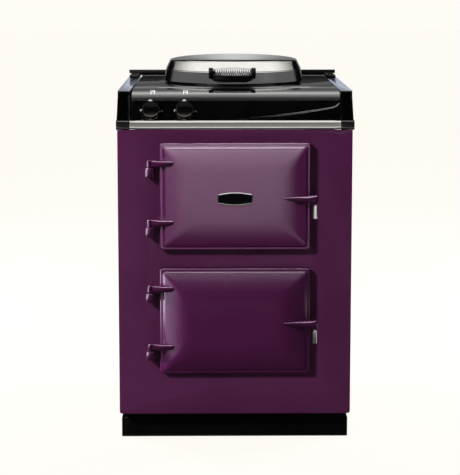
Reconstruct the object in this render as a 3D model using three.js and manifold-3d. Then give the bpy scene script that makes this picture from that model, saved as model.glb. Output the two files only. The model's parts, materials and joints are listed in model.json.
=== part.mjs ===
// A compact cast iron range cooker: two ovens behind pillow-shaped doors, one hotplate under a hinged lid,
// a sloped fascia with two knobs, a hand rail and a plinth. Millimetres, +Z up. The origin is on the floor,
// under the centre of the cooker, and the doors face -Y.

import * as THREE from 'three';
import { mergeVertices } from 'three/addons/utils/BufferGeometryUtils.js';
import Module from 'manifold-3d';

const wasm = await Module();
wasm.setup();

// ---------------------------------------------------------------- driving sizes

// The gap that faces keep where one piece rests on another.
const seat = 0.3;
// Radial clearance of a pin in its bore.
const pinClearance = 0.3;
// Reach of a cutting tool past the face that it opens.
const through = 5;

// Cabinet
const cabinetWidth = 600;
const cabinetDepth = 600;
const hobHeight = 917;
const panelsBottom = 74;
const sheet = 2;
const sidePanelInset = 3;
const frontPanelThickness = 6;
const frontPanelCorner = 6;
const wiringSpace = 68;
const rearInsulation = 54;
const insulationSideGap = 10;
const insulationTopGap = 82;

// Base
const footHeight = 30;
const footPadRadius = 20;
const footPadHeight = 9;
const footStemRadius = 6;
const footInset = 38;
const footFrontInset = 20;
const frameBarWidth = 40;
const plinthHeight = 52;
const plinthFloorGap = 1;
const plinthSetback = 40;
const plinthSideInset = 3;
const plinthRearGap = 10;

// Ovens
const mouthWidth = 340;
const mouthHeight = 230;
const ovenWall = 6;
const hobToUpperOven = 269;
const ovenPitch = 323;
const runnerDepth = 10;
const runnerHeight = 5;
const runnerDrop = 35;
const shelfThickness = 6;
const shelfSideGap = 3;
const shelfFrontInset = 26;
const shelfBackGap = 20;
const shelfBar = 7;
const shelfSlots = 10;
const elementThickness = 6;
const elementChannel = 8;
const elementLegs = 5;
const elementLegWidth = 22;
const elementLegGap = 26;
const elementLength = 360;

// Doors
const doorOverlap = 23;
const doorStandOff = 8;
const doorEdge = 16;
const doorCrown = 24;
const doorCorner = 8;
const doorSlope = 85;
const doorRim = 14;
const doorWall = 6;
const linerSheet = 1.5;
const linerOverlap = 5;
const linerMouthGap = 12;
const linerReach = 22;
const sealWidth = 7;
const sealOutset = 3.5;
const sealCorner = 5;

// Door hinges
const hingeOutset = 24;
const hingePinDepth = 30;
const hingePinRadius = 4;
const hingeUpper = 85;
const hingeLower = -67;
const hingeArmHeight = 20;
const hingeArmRadius = 7.5;
const hingeArmReach = 61;
const hingeArmTip = 15;
const hingeBracketHeight = 22;
const hingeBracketRadius = 12;

// Door handle arm, grip and badge
const handleRootDrop = 2;
const handleDrop = 5;
const handleOutset = 10;
const handleReach = 78;
const handleArmHeight = 24;
const handleArmTip = 5;
const handleArmRadius = 8;
const handleArmDepth = 18;
const handleProud = 8;
const gripRadius = 6.2;
const gripLength = 35;
const gripNeckRadius = 4;
const gripNeckLength = 1.5;
const badgeDrop = 2;
const badgeWidth = 90;
const badgeHeight = 35;
const badgeThickness = 2.5;

// Fascia and hand rail
const fasciaHeight = 75;
const fasciaTilt = THREE.MathUtils.degToRad(18);
const fasciaFootDepth = 26;
const fasciaRoll = 25;
const fasciaSeamDepth = 90;
const fasciaWall = 4;
const fasciaStep = 3;
const fasciaFlange = 3;
const swooshStart = -90;
const swooshEnd = 240;
const swooshBend = 46;
const swooshRise = 31;
const swooshCorner = 22;
const trimTaper = 2.5;
const leftTrimWidth = 33.5;
const rightTrimWidth = 33;
const leftTrimJoint = 4.5;
const rightTrimJoint = 0.6;
const trimThickness = 10;
const trimLip = 5;
const trimLipDepth = 10;
const trimLipOverhang = 3;
const trimCheekDepth = 40;
const trimLedge = 10;
const trimLedgeThickness = 3;
const railHeight = 24;
const railDepth = 16;
const railFrontDepth = 50;
const railDrop = 9;
const railEndWidth = 33;
const railEndCorner = 6;
const railSquareness = 2.6;

// Knobs
const knobHeight = 25;
const knobInset = 86;
const knobPitch = 85.5;
const knobRadius = 22.4;
const knobLength = 16;
const knobCrown = 2;
const knobSkirt = 27;
const knobPointer = 30;
const knobSkirtThickness = 4;
const knobStemRadius = 5.5;
const knobHoleRadius = 7;
const knobHoleReach = 30;
const knobFloat = 0.5;
const switchSize = 26;
const switchDepth = 22;

// Hob
const topPlateThickness = 10;
const hotplateRadius = 165;
const hotplateThickness = 28;
const hotplateProud = 3;
const hotplateGap = 0.8;
const rimInset = 7;
const rimWidth = 14;
const rimHeight = 6.7;
const hotplateElementInner = 60;
const hotplateElementOuter = 135;
const hotplateElementThickness = 9;

// Rear upstand
const upstandBarHeight = 9.5;
const upstandBarDepth = 16;
const upstandRise = 7;
const upstandWebThickness = 3;
const upstandFootLength = 130;
const upstandFootWidth = 25;
const upstandFootInset = 8;
const upstandEndGap = 1;

// Lid
const lidOverhang = 4;
const lidWallHeight = 31;
const lidWallLean = 5.5;
const lidShoulderHeight = 56;
const lidShoulderInset = 18;
const lidHeight = 68;
const lidSheet = 2.5;
const lidLinerSheet = 2;
const lidLinerRim = 14;
const lidHingeRear = 52;
const lidHingeGap = 38;
const lidHingeRise = 23;
const lidHingeSpan = 98;
const lidHingePlate = 6;
const lidHingePlateRadius = 12;
const lidPinRadius = 4;
const lidBarrelRadius = 8;
const lidArmThickness = 12;

// Lid handle
const lidHandleReach = 36;
const lidHandleRise = 34;
const lidHandleSpan = 99;
const lidHandleCheek = 16;
const lidHandleShift = -6;
const lidHandleCheekRadius = 10;
const lidHandleFoot = 2;
const lidHandleBarTop = 20;
const lidHandleBarDepth = 22;
const lidRodRadius = 3.5;
const coilTurns = 16;
const coilWireRadius = 1.8;
const coilEndRadius = 7.5;
const coilMiddleRadius = 10.7;
const coilSides = 5;
const coilSteps = 8;

// Mains inlet
const terminalWidth = 90;
const terminalHeight = 60;
const terminalDepth = 40;
const terminalInset = 120;
const terminalRise = 76;
const glandRadius = 12;
const glandFlange = 18;
const glandReach = 12;

// Facets of round pieces
const fineFacets = 48;
const smallFacets = 16;

// ---------------------------------------------------------------- sizes worked out from them

const halfWidth = cabinetWidth / 2;
const panelsBack = cabinetDepth - sheet;
const doorWidth = mouthWidth + 2 * doorOverlap;
const doorHeight = mouthHeight + 2 * doorOverlap;
const doorFront = -(doorStandOff + doorEdge + doorCrown);
const handleFront = doorFront - handleProud;
const frontReach = Math.max(-handleFront, railFrontDepth);
const depthCentre = (cabinetDepth + glandReach - frontReach) / 2;
const ovenFront = frontPanelThickness + seat;
const ovenLength = cabinetDepth - wiringSpace - rearInsulation - ovenFront;
const upperOvenZ = hobHeight - hobToUpperOven;
const lowerOvenZ = upperOvenZ - ovenPitch;
const frontPanelTop = hobHeight - fasciaHeight;
const fasciaFootZ = frontPanelTop + seat;
const leftFaceEnd = -halfWidth + leftTrimWidth + leftTrimJoint;
const rightFaceEnd = halfWidth - rightTrimWidth - rightTrimJoint;
const trimUnderside = hobHeight - trimThickness;
const sidePanelTop = trimUnderside - seat;
const rimInner = hotplateRadius + rimInset;
const rimOuter = rimInner + rimWidth;
const lidRadius = rimOuter + lidOverhang;
const lidBottom = hobHeight + rimHeight + seat;
const lidHingeY = cabinetDepth - lidHingeRear;
const lidHingeZ = hobHeight + lidHingeRise;
const lidCentreY = lidHingeY - lidHingeGap - lidRadius;
const switchFront = fasciaWall + fasciaStep + seat;
const terminalX = -halfWidth + terminalInset;
const terminalZ = panelsBottom + terminalRise;

// ---------------------------------------------------------------- geometry helpers

// One closed mesh of positions only: shared corners merged, flat triangles dropped, faces turned outward.
function closed(geometry) {
  const bare = geometry.clone();
  for (const name of Object.keys(bare.attributes)) {
    if (name !== 'position') bare.deleteAttribute(name);
  }
  const merged = mergeVertices(bare, 1e-4);
  const position = merged.attributes.position;
  const corner = (i) => new THREE.Vector3().fromBufferAttribute(position, i);
  const kept = [];
  let volume = 0;
  for (let i = 0; i < merged.index.count; i += 3) {
    const [a, b, c] = [0, 1, 2].map((k) => merged.index.getX(i + k));
    if (a === b || b === c || c === a) continue;
    kept.push(a, b, c);
    volume += corner(a).dot(corner(b).cross(corner(c)));
  }
  if (volume < 0) {
    for (let i = 0; i < kept.length; i += 3) [kept[i], kept[i + 1]] = [kept[i + 1], kept[i]];
  }
  const result = new THREE.BufferGeometry();
  result.setAttribute('position', position.clone());
  result.setIndex(kept);
  return result;
}

function solidOf(geometry) {
  const mesh = closed(geometry);
  return new wasm.Manifold(new wasm.Mesh({
    numProp: 3,
    vertProperties: new Float32Array(mesh.attributes.position.array),
    triVerts: new Uint32Array(mesh.index.array),
  }));
}

function geometryOf(solid) {
  const mesh = solid.getMesh();
  const geometry = new THREE.BufferGeometry();
  geometry.setAttribute('position', new THREE.BufferAttribute(new Float32Array(mesh.vertProperties), 3));
  geometry.setIndex(new THREE.BufferAttribute(new Uint32Array(mesh.triVerts), 1));
  return geometry;
}

const join = (...pieces) => geometryOf(pieces.map(solidOf).reduce((sum, piece) => sum.add(piece)));
const cut = (piece, ...tools) => geometryOf(tools.map(solidOf).reduce((rest, tool) => rest.subtract(tool),
  solidOf(piece)));
const common = (piece, other) => geometryOf(solidOf(piece).intersect(solidOf(other)));

function box(x, y, z) {
  const geometry = new THREE.BoxGeometry(x[1] - x[0], y[1] - y[0], z[1] - z[0]);
  return geometry.translate((x[0] + x[1]) / 2, (y[0] + y[1]) / 2, (z[0] + z[1]) / 2);
}

function extruded(shape, from, to) {
  const options = { depth: to - from, bevelEnabled: false, curveSegments: 6 };
  return new THREE.ExtrudeGeometry(shape, options).translate(0, 0, from);
}

// Prisms along each axis. The outline's two coordinates are the other two axes, in X, Y, Z order.
const prismZ = (shape, z) => extruded(shape, z[0], z[1]);
const prismX = (shape, x) => extruded(shape, x[0], x[1]).applyMatrix4(new THREE.Matrix4().makeBasis(
  new THREE.Vector3(0, 1, 0), new THREE.Vector3(0, 0, 1), new THREE.Vector3(1, 0, 0)));
const prismY = (shape, y) => extruded(shape, -y[1], -y[0]).applyMatrix4(new THREE.Matrix4().makeBasis(
  new THREE.Vector3(1, 0, 0), new THREE.Vector3(0, 0, 1), new THREE.Vector3(0, -1, 0)));

const polygon = (points) => new THREE.Shape(points.map(([a, b]) => new THREE.Vector2(a, b)));

// Points of an arc about (a, b), angles in degrees.
function arc(a, b, radius, from, to, steps) {
  return Array.from({ length: steps + 1 }, (_, i) => {
    const angle = THREE.MathUtils.degToRad(from + (to - from) * i / steps);
    return [a + radius * Math.cos(angle), b + radius * Math.sin(angle)];
  });
}

function roundedRectangle(halfA, halfB, radius, steps) {
  const [a, b] = [halfA - radius, halfB - radius];
  return [
    ...arc(a, b, radius, 0, 90, steps),
    ...arc(-a, b, radius, 90, 180, steps),
    ...arc(-a, -b, radius, 180, 270, steps),
    ...arc(a, -b, radius, 270, 360, steps),
  ];
}

const circle = (a, b, radius, facets) => arc(a, b, radius, 0, 360 * (1 - 1 / facets), facets - 1);

function withHoles(outline, ...holes) {
  const shape = polygon(outline);
  shape.holes = holes.map((hole) => new THREE.Path(hole.map(([a, b]) => new THREE.Vector2(a, b))));
  return shape;
}

// A solid of revolution about Z from a profile of [radius, height].
function turned(profile, facets) {
  const points = profile.map(([radius, height]) => new THREE.Vector2(radius, height));
  return new THREE.LatheGeometry(points, facets).rotateX(Math.PI / 2);
}

function cylinderX(radius, x, y, z) {
  const geometry = new THREE.CylinderGeometry(radius, radius, x[1] - x[0], smallFacets);
  return geometry.rotateZ(Math.PI / 2).translate((x[0] + x[1]) / 2, y, z);
}

function cylinderZ(radius, z) {
  const geometry = new THREE.CylinderGeometry(radius, radius, z[1] - z[0], smallFacets);
  return geometry.rotateX(Math.PI / 2).translate(0, 0, (z[0] + z[1]) / 2);
}

// A closed skin over rings of equal point counts, with a fan over each end.
function skinOf(rings) {
  const count = rings[0].length;
  const positions = rings.flat().flatMap((point) => point.toArray());
  const indices = [];
  for (let r = 0; r + 1 < rings.length; r += 1) {
    for (let i = 0; i < count; i += 1) {
      const [a, b] = [r * count + i, r * count + (i + 1) % count];
      indices.push(a, b, a + count, b, b + count, a + count);
    }
  }
  for (const [ring, flip] of [[0, true], [rings.length - 1, false]]) {
    const middle = rings[ring].reduce((sum, point) => sum.add(point), new THREE.Vector3());
    const hub = positions.length / 3;
    positions.push(...middle.divideScalar(count).toArray());
    for (let i = 0; i < count; i += 1) {
      const [a, b] = [ring * count + i, ring * count + (i + 1) % count];
      indices.push(...(flip ? [b, a, hub] : [a, b, hub]));
    }
  }
  const geometry = new THREE.BufferGeometry();
  geometry.setAttribute('position', new THREE.Float32BufferAttribute(positions, 3));
  geometry.setIndex(indices);
  return geometry;
}

// A stack of rounded rectangles in the XZ plane, each [inset, y, corner radius].
function pillow(halfA, halfB, rings) {
  return skinOf(rings.map(([inset, y, radius]) => roundedRectangle(halfA - inset, halfB - inset, radius, 3)
    .map(([x, z]) => new THREE.Vector3(x, y, z))));
}

// ---------------------------------------------------------------- finishes

const finish = (color, roughness, metalness) => (
  new THREE.MeshStandardMaterial({ color, roughness, metalness })
);
const purpleEnamel = finish(0x45203d, 0.2, 0);
const blackEnamel = finish(0x0c0d10, 0.15, 0);
const blackTrim = finish(0x08080a, 0.35, 0);
const polishedSteel = finish(0xc9c8c5, 0.15, 1);
const chrome = finish(0xe0e0e0, 0.06, 1);
const blackPlastic = finish(0x0e0e10, 0.3, 0);
const rawIron = finish(0x3a3a3c, 0.6, 0.6);
const galvanised = finish(0x9a9c9e, 0.5, 0.9);
const paleFibre = finish(0xd9d5c8, 0.95, 0);
const rope = finish(0x8d8a80, 0.9, 0);

// The cooker's depth runs from the front panel's face, y = 0, to its rear edge at y = cabinetDepth.
const cooker = new THREE.Group();
cooker.position.y = -depthCentre;

function place(parent, name, geometry, material, position = [0, 0, 0]) {
  const mesh = new THREE.Mesh(closed(geometry), material);
  mesh.name = name;
  mesh.position.set(...position);
  parent.add(mesh);
}

function group(parent, position) {
  const child = new THREE.Group();
  child.position.set(...position);
  parent.add(child);
  return child;
}

// ---------------------------------------------------------------- base

function makeBase() {
  const outer = halfWidth - plinthSideInset - sheet - seat;
  const front = plinthSetback + sheet + seat;
  const back = cabinetDepth - plinthRearGap;
  const bottom = footHeight + seat;
  const rectangle = (grow) => [[-outer - grow, front - grow], [outer + grow, front - grow],
    [outer + grow, back + grow], [-outer - grow, back + grow]];
  const frame = withHoles(rectangle(0), rectangle(-frameBarWidth));
  place(cooker, 'base_frame', prismZ(frame, [bottom, panelsBottom - seat]), blackTrim);

  const foot = turned([[0, 0], [footPadRadius, 0], [footPadRadius, footPadHeight - 3],
    [footStemRadius, footPadHeight], [footStemRadius, footHeight], [0, footHeight]], smallFacets);
  const footX = halfWidth - footInset;
  const [footFront, footBack] = [front + footFrontInset, back - footFrontInset];
  [[-footX, footFront], [footX, footFront], [-footX, footBack], [footX, footBack]].forEach(([x, y], i) => {
    place(cooker, `levelling_foot_${i + 1}`, foot, galvanised, [x, y, 0]);
  });

  const plinthX = halfWidth - plinthSideInset;
  const plinth = polygon([[-plinthX, plinthSetback], [plinthX, plinthSetback], [plinthX, back],
    [plinthX - sheet, back], [plinthX - sheet, plinthSetback + sheet],
    [-plinthX + sheet, plinthSetback + sheet], [-plinthX + sheet, back], [-plinthX, back]]);
  place(cooker, 'plinth_cover', prismZ(plinth, [plinthFloorGap, plinthHeight]), blackTrim);
}

// ---------------------------------------------------------------- cabinet panels and insulation

function makePanels() {
  const r = frontPanelCorner;
  const front = [
    ...arc(-halfWidth + r, panelsBottom + r, r, 180, 270, 4),
    ...arc(halfWidth - r, panelsBottom + r, r, 270, 360, 4),
    [halfWidth, frontPanelTop], [-halfWidth, frontPanelTop],
  ];
  const mouthAt = (z) => [[-mouthWidth / 2, z - mouthHeight / 2], [mouthWidth / 2, z - mouthHeight / 2],
    [mouthWidth / 2, z + mouthHeight / 2], [-mouthWidth / 2, z + mouthHeight / 2]];
  const face = withHoles(front, mouthAt(upperOvenZ), mouthAt(lowerOvenZ));
  place(cooker, 'front_panel', prismY(face, [0, frontPanelThickness]), purpleEnamel);

  const cheekBack = trimCheekDepth + seat;
  const sideFront = frontPanelThickness + seat;
  const side = polygon([[sideFront, panelsBottom], [panelsBack - seat, panelsBottom],
    [panelsBack - seat, sidePanelTop], [cheekBack, sidePanelTop], [cheekBack, frontPanelTop],
    [sideFront, frontPanelTop]]);
  const sideX = halfWidth - sidePanelInset;
  place(cooker, 'side_panel_left', prismX(side, [-sideX, -sideX + sheet]), purpleEnamel);
  place(cooker, 'side_panel_right', prismX(side, [sideX - sheet, sideX]), purpleEnamel);

  const back = withHoles([[-sideX, panelsBottom], [sideX, panelsBottom], [sideX, sidePanelTop],
    [-sideX, sidePanelTop]], circle(terminalX, terminalZ, glandRadius + seat, smallFacets));
  place(cooker, 'back_panel', prismY(back, [panelsBack, cabinetDepth]), galvanised);
}

function ovenPocket(z) {
  const [halfA, halfB] = [mouthWidth / 2 + ovenWall + seat, mouthHeight / 2 + ovenWall + seat];
  const pocket = box([-halfA, halfA], [ovenFront - through, ovenFront + ovenLength + seat],
    [z - halfB, z + halfB]);
  const legsWidth = elementLegs * elementLegWidth + (elementLegs - 1) * elementLegGap;
  const middle = ovenFront + ovenLength / 2;
  const half = [legsWidth / 2 + seat, elementLength / 2 + seat];
  const channel = box([-half[0], half[0]], [middle - half[1], middle + half[1]],
    [z - halfB - elementChannel, z]);
  return [pocket, channel];
}

function makeInsulation() {
  const x = halfWidth - insulationSideGap;
  const block = box([-x, x], [ovenFront, cabinetDepth - wiringSpace],
    [panelsBottom, hobHeight - insulationTopGap]);
  const insulation = cut(block, ...ovenPocket(upperOvenZ), ...ovenPocket(lowerOvenZ));
  place(cooker, 'insulation', insulation, paleFibre);
}

// ---------------------------------------------------------------- ovens

function makeOven(prefix, z) {
  const [halfA, halfB] = [mouthWidth / 2, mouthHeight / 2];
  const back = ovenFront + ovenLength;
  const shell = box([-halfA - ovenWall, halfA + ovenWall], [ovenFront, back],
    [-halfB - ovenWall, halfB + ovenWall]);
  const hollow = box([-halfA, halfA], [ovenFront - through, back - ovenWall], [-halfB, halfB]);
  const runnerTop = -runnerDrop;
  const runners = [-1, 1].map((side) => {
    const x = [side * (halfA - runnerDepth), side * (halfA + ovenWall / 2)].sort((p, q) => p - q);
    return box(x, [ovenFront + shelfFrontInset, back - ovenWall / 2], [runnerTop - runnerHeight, runnerTop]);
  });
  const oven = join(cut(shell, hollow), ...runners);
  place(cooker, `${prefix}_oven`, oven, rawIron, [0, 0, z]);

  const shelfX = halfA - shelfSideGap;
  const shelfY = [ovenFront + shelfFrontInset, back - ovenWall - shelfBackGap];
  const slotWidth = (2 * shelfX - shelfBar * (shelfSlots + 1)) / shelfSlots;
  const shelfZ = runnerTop + seat;
  const slots = Array.from({ length: shelfSlots }, (_, i) => {
    const left = -shelfX + shelfBar + i * (slotWidth + shelfBar);
    return box([left, left + slotWidth], [shelfY[0] + shelfBar, shelfY[1] - shelfBar],
      [shelfZ - through, shelfZ + shelfThickness + through]);
  });
  const shelf = box([-shelfX, shelfX], shelfY, [shelfZ, shelfZ + shelfThickness]);
  place(cooker, `${prefix}_oven_shelf`, cut(shelf, ...slots), polishedSteel, [0, 0, z]);

  const element = elementStrip(-halfB - ovenWall - seat);
  place(cooker, `${prefix}_oven_element`, element, rawIron, [0, ovenFront + ovenLength / 2, z]);
}

// A flat strip that runs up and down: legs side by side, linked in turn at the back and the front.
function elementStrip(top) {
  const pitch = elementLegWidth + elementLegGap;
  const left = -(elementLegs * elementLegWidth + (elementLegs - 1) * elementLegGap) / 2;
  const half = elementLength / 2;
  const z = [top - elementThickness, top];
  const legs = Array.from({ length: elementLegs }, (_, leg) => {
    const x = left + leg * pitch;
    return box([x, x + elementLegWidth], [-half, half], z);
  });
  const links = Array.from({ length: elementLegs - 1 }, (_, leg) => {
    const y = leg % 2 === 0 ? [half - elementLegWidth, half] : [-half, -half + elementLegWidth];
    return box([left + leg * pitch, left + (leg + 1) * pitch + elementLegWidth], y, z);
  });
  return join(...legs, ...links);
}

// ---------------------------------------------------------------- doors

function doorSkin(grow, back, crown) {
  const edge = -(doorStandOff + doorEdge);
  return pillow(doorWidth / 2 - grow, doorHeight / 2 - grow, [
    [0, back, doorCorner],
    [0, edge + 2, doorCorner],
    [1.5, edge, doorCorner],
    [8, edge - 0.06 * crown, doorCorner],
    [11, edge - 0.19 * crown, doorCorner],
    [0.36 * doorSlope, edge - 0.56 * crown, doorCorner + 4],
    [0.6 * doorSlope, edge - 0.83 * crown, doorCorner + 12],
    [0.78 * doorSlope, edge - 0.95 * crown, doorCorner + 18],
    [doorSlope, edge - crown, doorCorner + 24],
  ]);
}

// A hinge arm grows out of the door's slope, and its round end is bored for the pin.
function hingeArm(z) {
  const pin = [-(doorWidth / 2 + hingeOutset), -hingePinDepth];
  const tip = pin[0] + hingeArmReach;
  const half = hingeArmHeight / 2;
  const knee = pin[0] + hingeArmRadius * 2;
  const side = polygon([[pin[0] - hingeArmRadius, z - half], [knee, z - half], [tip, z + half - hingeArmTip],
    [tip, z + half], [pin[0] - hingeArmRadius, z + half]]);
  const plan = polygon([
    ...arc(pin[0], pin[1], hingeArmRadius, 90, 270, 8),
    [tip, doorFront + doorCrown * 0.3], [tip, -doorStandOff - doorWall],
    [pin[0] + hingeOutset + doorWall, -doorStandOff - doorWall],
    [pin[0] + hingeOutset + doorWall / 2, pin[1] + hingeArmRadius],
  ]);
  return common(prismY(side, [handleFront, 0]), prismZ(plan, [z - half - 1, z + half + 1]));
}

function handleArm() {
  const grip = [doorWidth / 2 + handleOutset, doorFront];
  const root = grip[0] - handleReach;
  const half = handleArmHeight / 2;
  const end = grip[0] + handleArmRadius;
  const side = polygon([
    [root, -handleRootDrop - handleArmTip / 2], [grip[0] - handleArmRadius, -handleDrop - half],
    [end, -handleDrop - half], [end, -handleDrop + half], [root, handleArmTip / 2 - handleRootDrop],
  ]);
  const plan = polygon([
    [root, doorFront + doorWall],
    [root, doorFront - 1],
    ...arc(grip[0], grip[1], handleArmRadius, 270, 450, 8),
    [doorWidth / 2 - doorWall, doorFront + handleArmDepth + doorWall],
  ]);
  return common(prismY(side, [handleFront - 1, 0]), prismZ(plan, [-handleArmHeight, handleArmHeight]));
}

function makeDoor(prefix, z) {
  const door = group(cooker, [0, 0, z]);
  const back = -doorStandOff;
  const pinX = -(doorWidth / 2 + hingeOutset);
  const outer = join(doorSkin(0, back, doorCrown), hingeArm(hingeUpper), hingeArm(hingeLower), handleArm());
  const cavity = pillow(doorWidth / 2 - doorRim, doorHeight / 2 - doorRim, [
    [0, back + through, doorCorner],
    [0, back - doorEdge + doorWall, doorCorner],
    [0.4 * doorSlope, doorFront + doorWall + 0.2 * doorCrown, doorCorner + 4],
    [doorSlope, doorFront + doorWall, doorCorner + 12],
  ]);
  const bore = (armZ) => cylinderZ(hingePinRadius + pinClearance, [-hingeArmHeight, hingeArmHeight])
    .translate(pinX, -hingePinDepth, armZ);
  place(door, `${prefix}_door_shell`, cut(outer, cavity, bore(hingeUpper), bore(hingeLower)), purpleEnamel);

  // The liner closes the door's hollow, and its pan reaches into the oven mouth.
  const [flangeA, flangeB] = [doorWidth / 2 - doorRim + linerOverlap, doorHeight / 2 - doorRim + linerOverlap];
  const [panA, panB] = [mouthWidth / 2 - linerMouthGap, mouthHeight / 2 - linerMouthGap];
  const linerBack = back + seat;
  const flange = box([-flangeA, flangeA], [linerBack, linerBack + linerSheet], [-flangeB, flangeB]);
  const pan = box([-panA, panA], [linerBack, linerReach], [-panB, panB]);
  const hollow = box([-panA + linerSheet, panA - linerSheet], [linerBack - through, linerReach - linerSheet],
    [-panB + linerSheet, panB - linerSheet]);
  place(door, `${prefix}_door_liner`, cut(join(flange, pan), hollow), polishedSteel);

  // The rope seal lies on the liner's flange, just outside the oven mouth.
  const sealFront = linerBack + linerSheet + seat;
  const [sealA, sealB] = [mouthWidth / 2 + sealOutset, mouthHeight / 2 + sealOutset];
  const seal = withHoles(roundedRectangle(sealA + sealWidth, sealB + sealWidth, sealCorner + sealWidth, 3),
    roundedRectangle(sealA, sealB, sealCorner, 3));
  place(door, `${prefix}_door_seal`, prismY(seal, [sealFront, -seat]), rope);

  const gripTop = -handleDrop - handleArmHeight / 2 - seat;
  const gripProfile = [[0, gripTop], [gripNeckRadius, gripTop], [gripNeckRadius, gripTop - gripNeckLength],
    [gripRadius - 1, gripTop - gripNeckLength], [gripRadius, gripTop - gripNeckLength - 1],
    [gripRadius, gripTop - gripNeckLength - gripLength + 1],
    [gripRadius - 1, gripTop - gripNeckLength - gripLength], [0, gripTop - gripNeckLength - gripLength]];
  place(door, `${prefix}_door_grip`, turned(gripProfile, smallFacets), polishedSteel,
    [doorWidth / 2 + handleOutset, doorFront, 0]);

  for (const [level, armZ] of [['top', hingeUpper], ['bottom', hingeLower]]) {
    const bracketTop = armZ - hingeArmHeight / 2 - seat;
    const plan = withHoles([
      [hingeBracketRadius, hingePinDepth - seat], [-hingeBracketRadius, hingePinDepth - seat],
      ...arc(0, 0, hingeBracketRadius, 180, 360, 8),
    ], circle(0, 0, hingePinRadius + pinClearance, smallFacets));
    const bracket = prismZ(plan, [bracketTop - hingeBracketHeight, bracketTop]);
    place(door, `${prefix}_hinge_bracket_${level}`, bracket, purpleEnamel, [pinX, -hingePinDepth, 0]);
    const pin = cylinderZ(hingePinRadius, [bracketTop - hingeBracketHeight, armZ + hingeArmHeight / 2 - seat]);
    place(door, `${prefix}_hinge_pin_${level}`, pin, polishedSteel, [pinX, -hingePinDepth, 0]);
  }
  return door;
}

function badgeOutline() {
  const [a, b] = [badgeWidth / 2, badgeHeight / 2];
  const bow = 0.14 * badgeHeight;
  const shape = new THREE.Shape();
  shape.moveTo(-a, -b * 0.55);
  shape.quadraticCurveTo(-a * 0.96, -b + bow, -a * 0.8, -b + bow);
  shape.quadraticCurveTo(0, -b - bow / 2, a * 0.8, -b + bow);
  shape.quadraticCurveTo(a * 0.96, -b + bow, a, -b * 0.55);
  shape.lineTo(a, b * 0.55);
  shape.quadraticCurveTo(a * 0.96, b - bow, a * 0.8, b - bow);
  shape.quadraticCurveTo(0, b + bow / 2, -a * 0.8, b - bow);
  shape.quadraticCurveTo(-a * 0.96, b - bow, -a, b * 0.55);
  shape.closePath();
  return shape;
}

// ---------------------------------------------------------------- fascia, trims and hand rail

// Depth of the fascia's sloped plane at a height, moved inward by an offset.
const fasciaDepthAt = (z, offset) => -fasciaFootDepth + (z - fasciaFootZ) * Math.tan(fasciaTilt)
  + offset / Math.cos(fasciaTilt);

// The fascia's front line: up the slope, then a long roll back that ends level with the top plate.
function fasciaLine(offset) {
  const top = hobHeight - offset;
  const bendZ = hobHeight - fasciaRoll;
  const roll = new THREE.QuadraticBezierCurve(
    new THREE.Vector2(fasciaDepthAt(bendZ, offset), bendZ),
    new THREE.Vector2(fasciaDepthAt(top, offset), top),
    new THREE.Vector2(fasciaSeamDepth, top),
  );
  return [[fasciaDepthAt(fasciaFootZ, offset), fasciaFootZ], ...roll.getPoints(12).map((p) => [p.x, p.y])];
}

function swooshOutline() {
  const top = hobHeight + through;
  const curve = new THREE.QuadraticBezierCurve(
    new THREE.Vector2(swooshStart, fasciaFootZ),
    new THREE.Vector2(swooshBend, fasciaFootZ),
    new THREE.Vector2(swooshEnd, fasciaFootZ + swooshRise),
  );
  const corner = new THREE.QuadraticBezierCurve(
    new THREE.Vector2(swooshEnd, fasciaFootZ + swooshRise),
    new THREE.Vector2(rightFaceEnd, fasciaFootZ + swooshRise + 4),
    new THREE.Vector2(rightFaceEnd, fasciaFootZ + swooshRise + swooshCorner),
  );
  const points = [...curve.getPoints(12), ...corner.getPoints(5).slice(1)].map((p) => [p.x, p.y]);
  return polygon([[leftFaceEnd, fasciaFootZ], ...points, [rightFaceEnd, top], [leftFaceEnd, top]]);
}

function knobPlaces() {
  const first = -halfWidth + knobInset;
  return [['left', first], ['right', first + knobPitch]].map(([side, x]) => {
    const z = fasciaFootZ + knobHeight;
    return { side, position: [x, fasciaDepthAt(z, 0), z] };
  });
}

function alongKnob(geometry, position) {
  return geometry.clone().rotateX(Math.PI / 2 - fasciaTilt).translate(...position);
}

function makeFascia() {
  const inner = fasciaLine(fasciaStep + fasciaWall).reverse();
  const span = [leftFaceEnd, rightFaceEnd];
  const raised = prismX(polygon([...fasciaLine(0), ...inner]), span);
  const recessed = prismX(polygon([...fasciaLine(fasciaStep), ...inner]), span);
  const flange = box(span, [fasciaDepthAt(fasciaFootZ, fasciaStep) + 1, frontPanelThickness],
    [fasciaFootZ, fasciaFootZ + fasciaFlange]);
  const panel = join(common(raised, prismY(swooshOutline(), [-cabinetDepth, cabinetDepth])), recessed, flange);
  const hole = cylinderZ(knobHoleRadius, [-knobHoleReach, knobHoleReach]);
  const holes = knobPlaces().map(({ position }) => alongKnob(hole, position));
  place(cooker, 'fascia', cut(panel, ...holes), blackEnamel);
}

// Side view of a trim: it covers the cabinet's top edge and folds down into a cheek beside the fascia.
function trimOutline() {
  const lipUnder = hobHeight - trimLipDepth;
  const lipFront = fasciaDepthAt(lipUnder, fasciaStep) - trimLipOverhang;
  return polygon([
    [panelsBack, hobHeight],
    ...arc(lipFront + trimLip, hobHeight - trimLip, trimLip, 90, 180, 4),
    [lipFront, lipUnder],
    [fasciaDepthAt(lipUnder, fasciaStep), lipUnder],
    [fasciaDepthAt(fasciaFootZ, fasciaStep), fasciaFootZ],
    [trimCheekDepth, fasciaFootZ],
    [trimCheekDepth, trimUnderside],
    [panelsBack, trimUnderside],
  ]);
}

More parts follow.
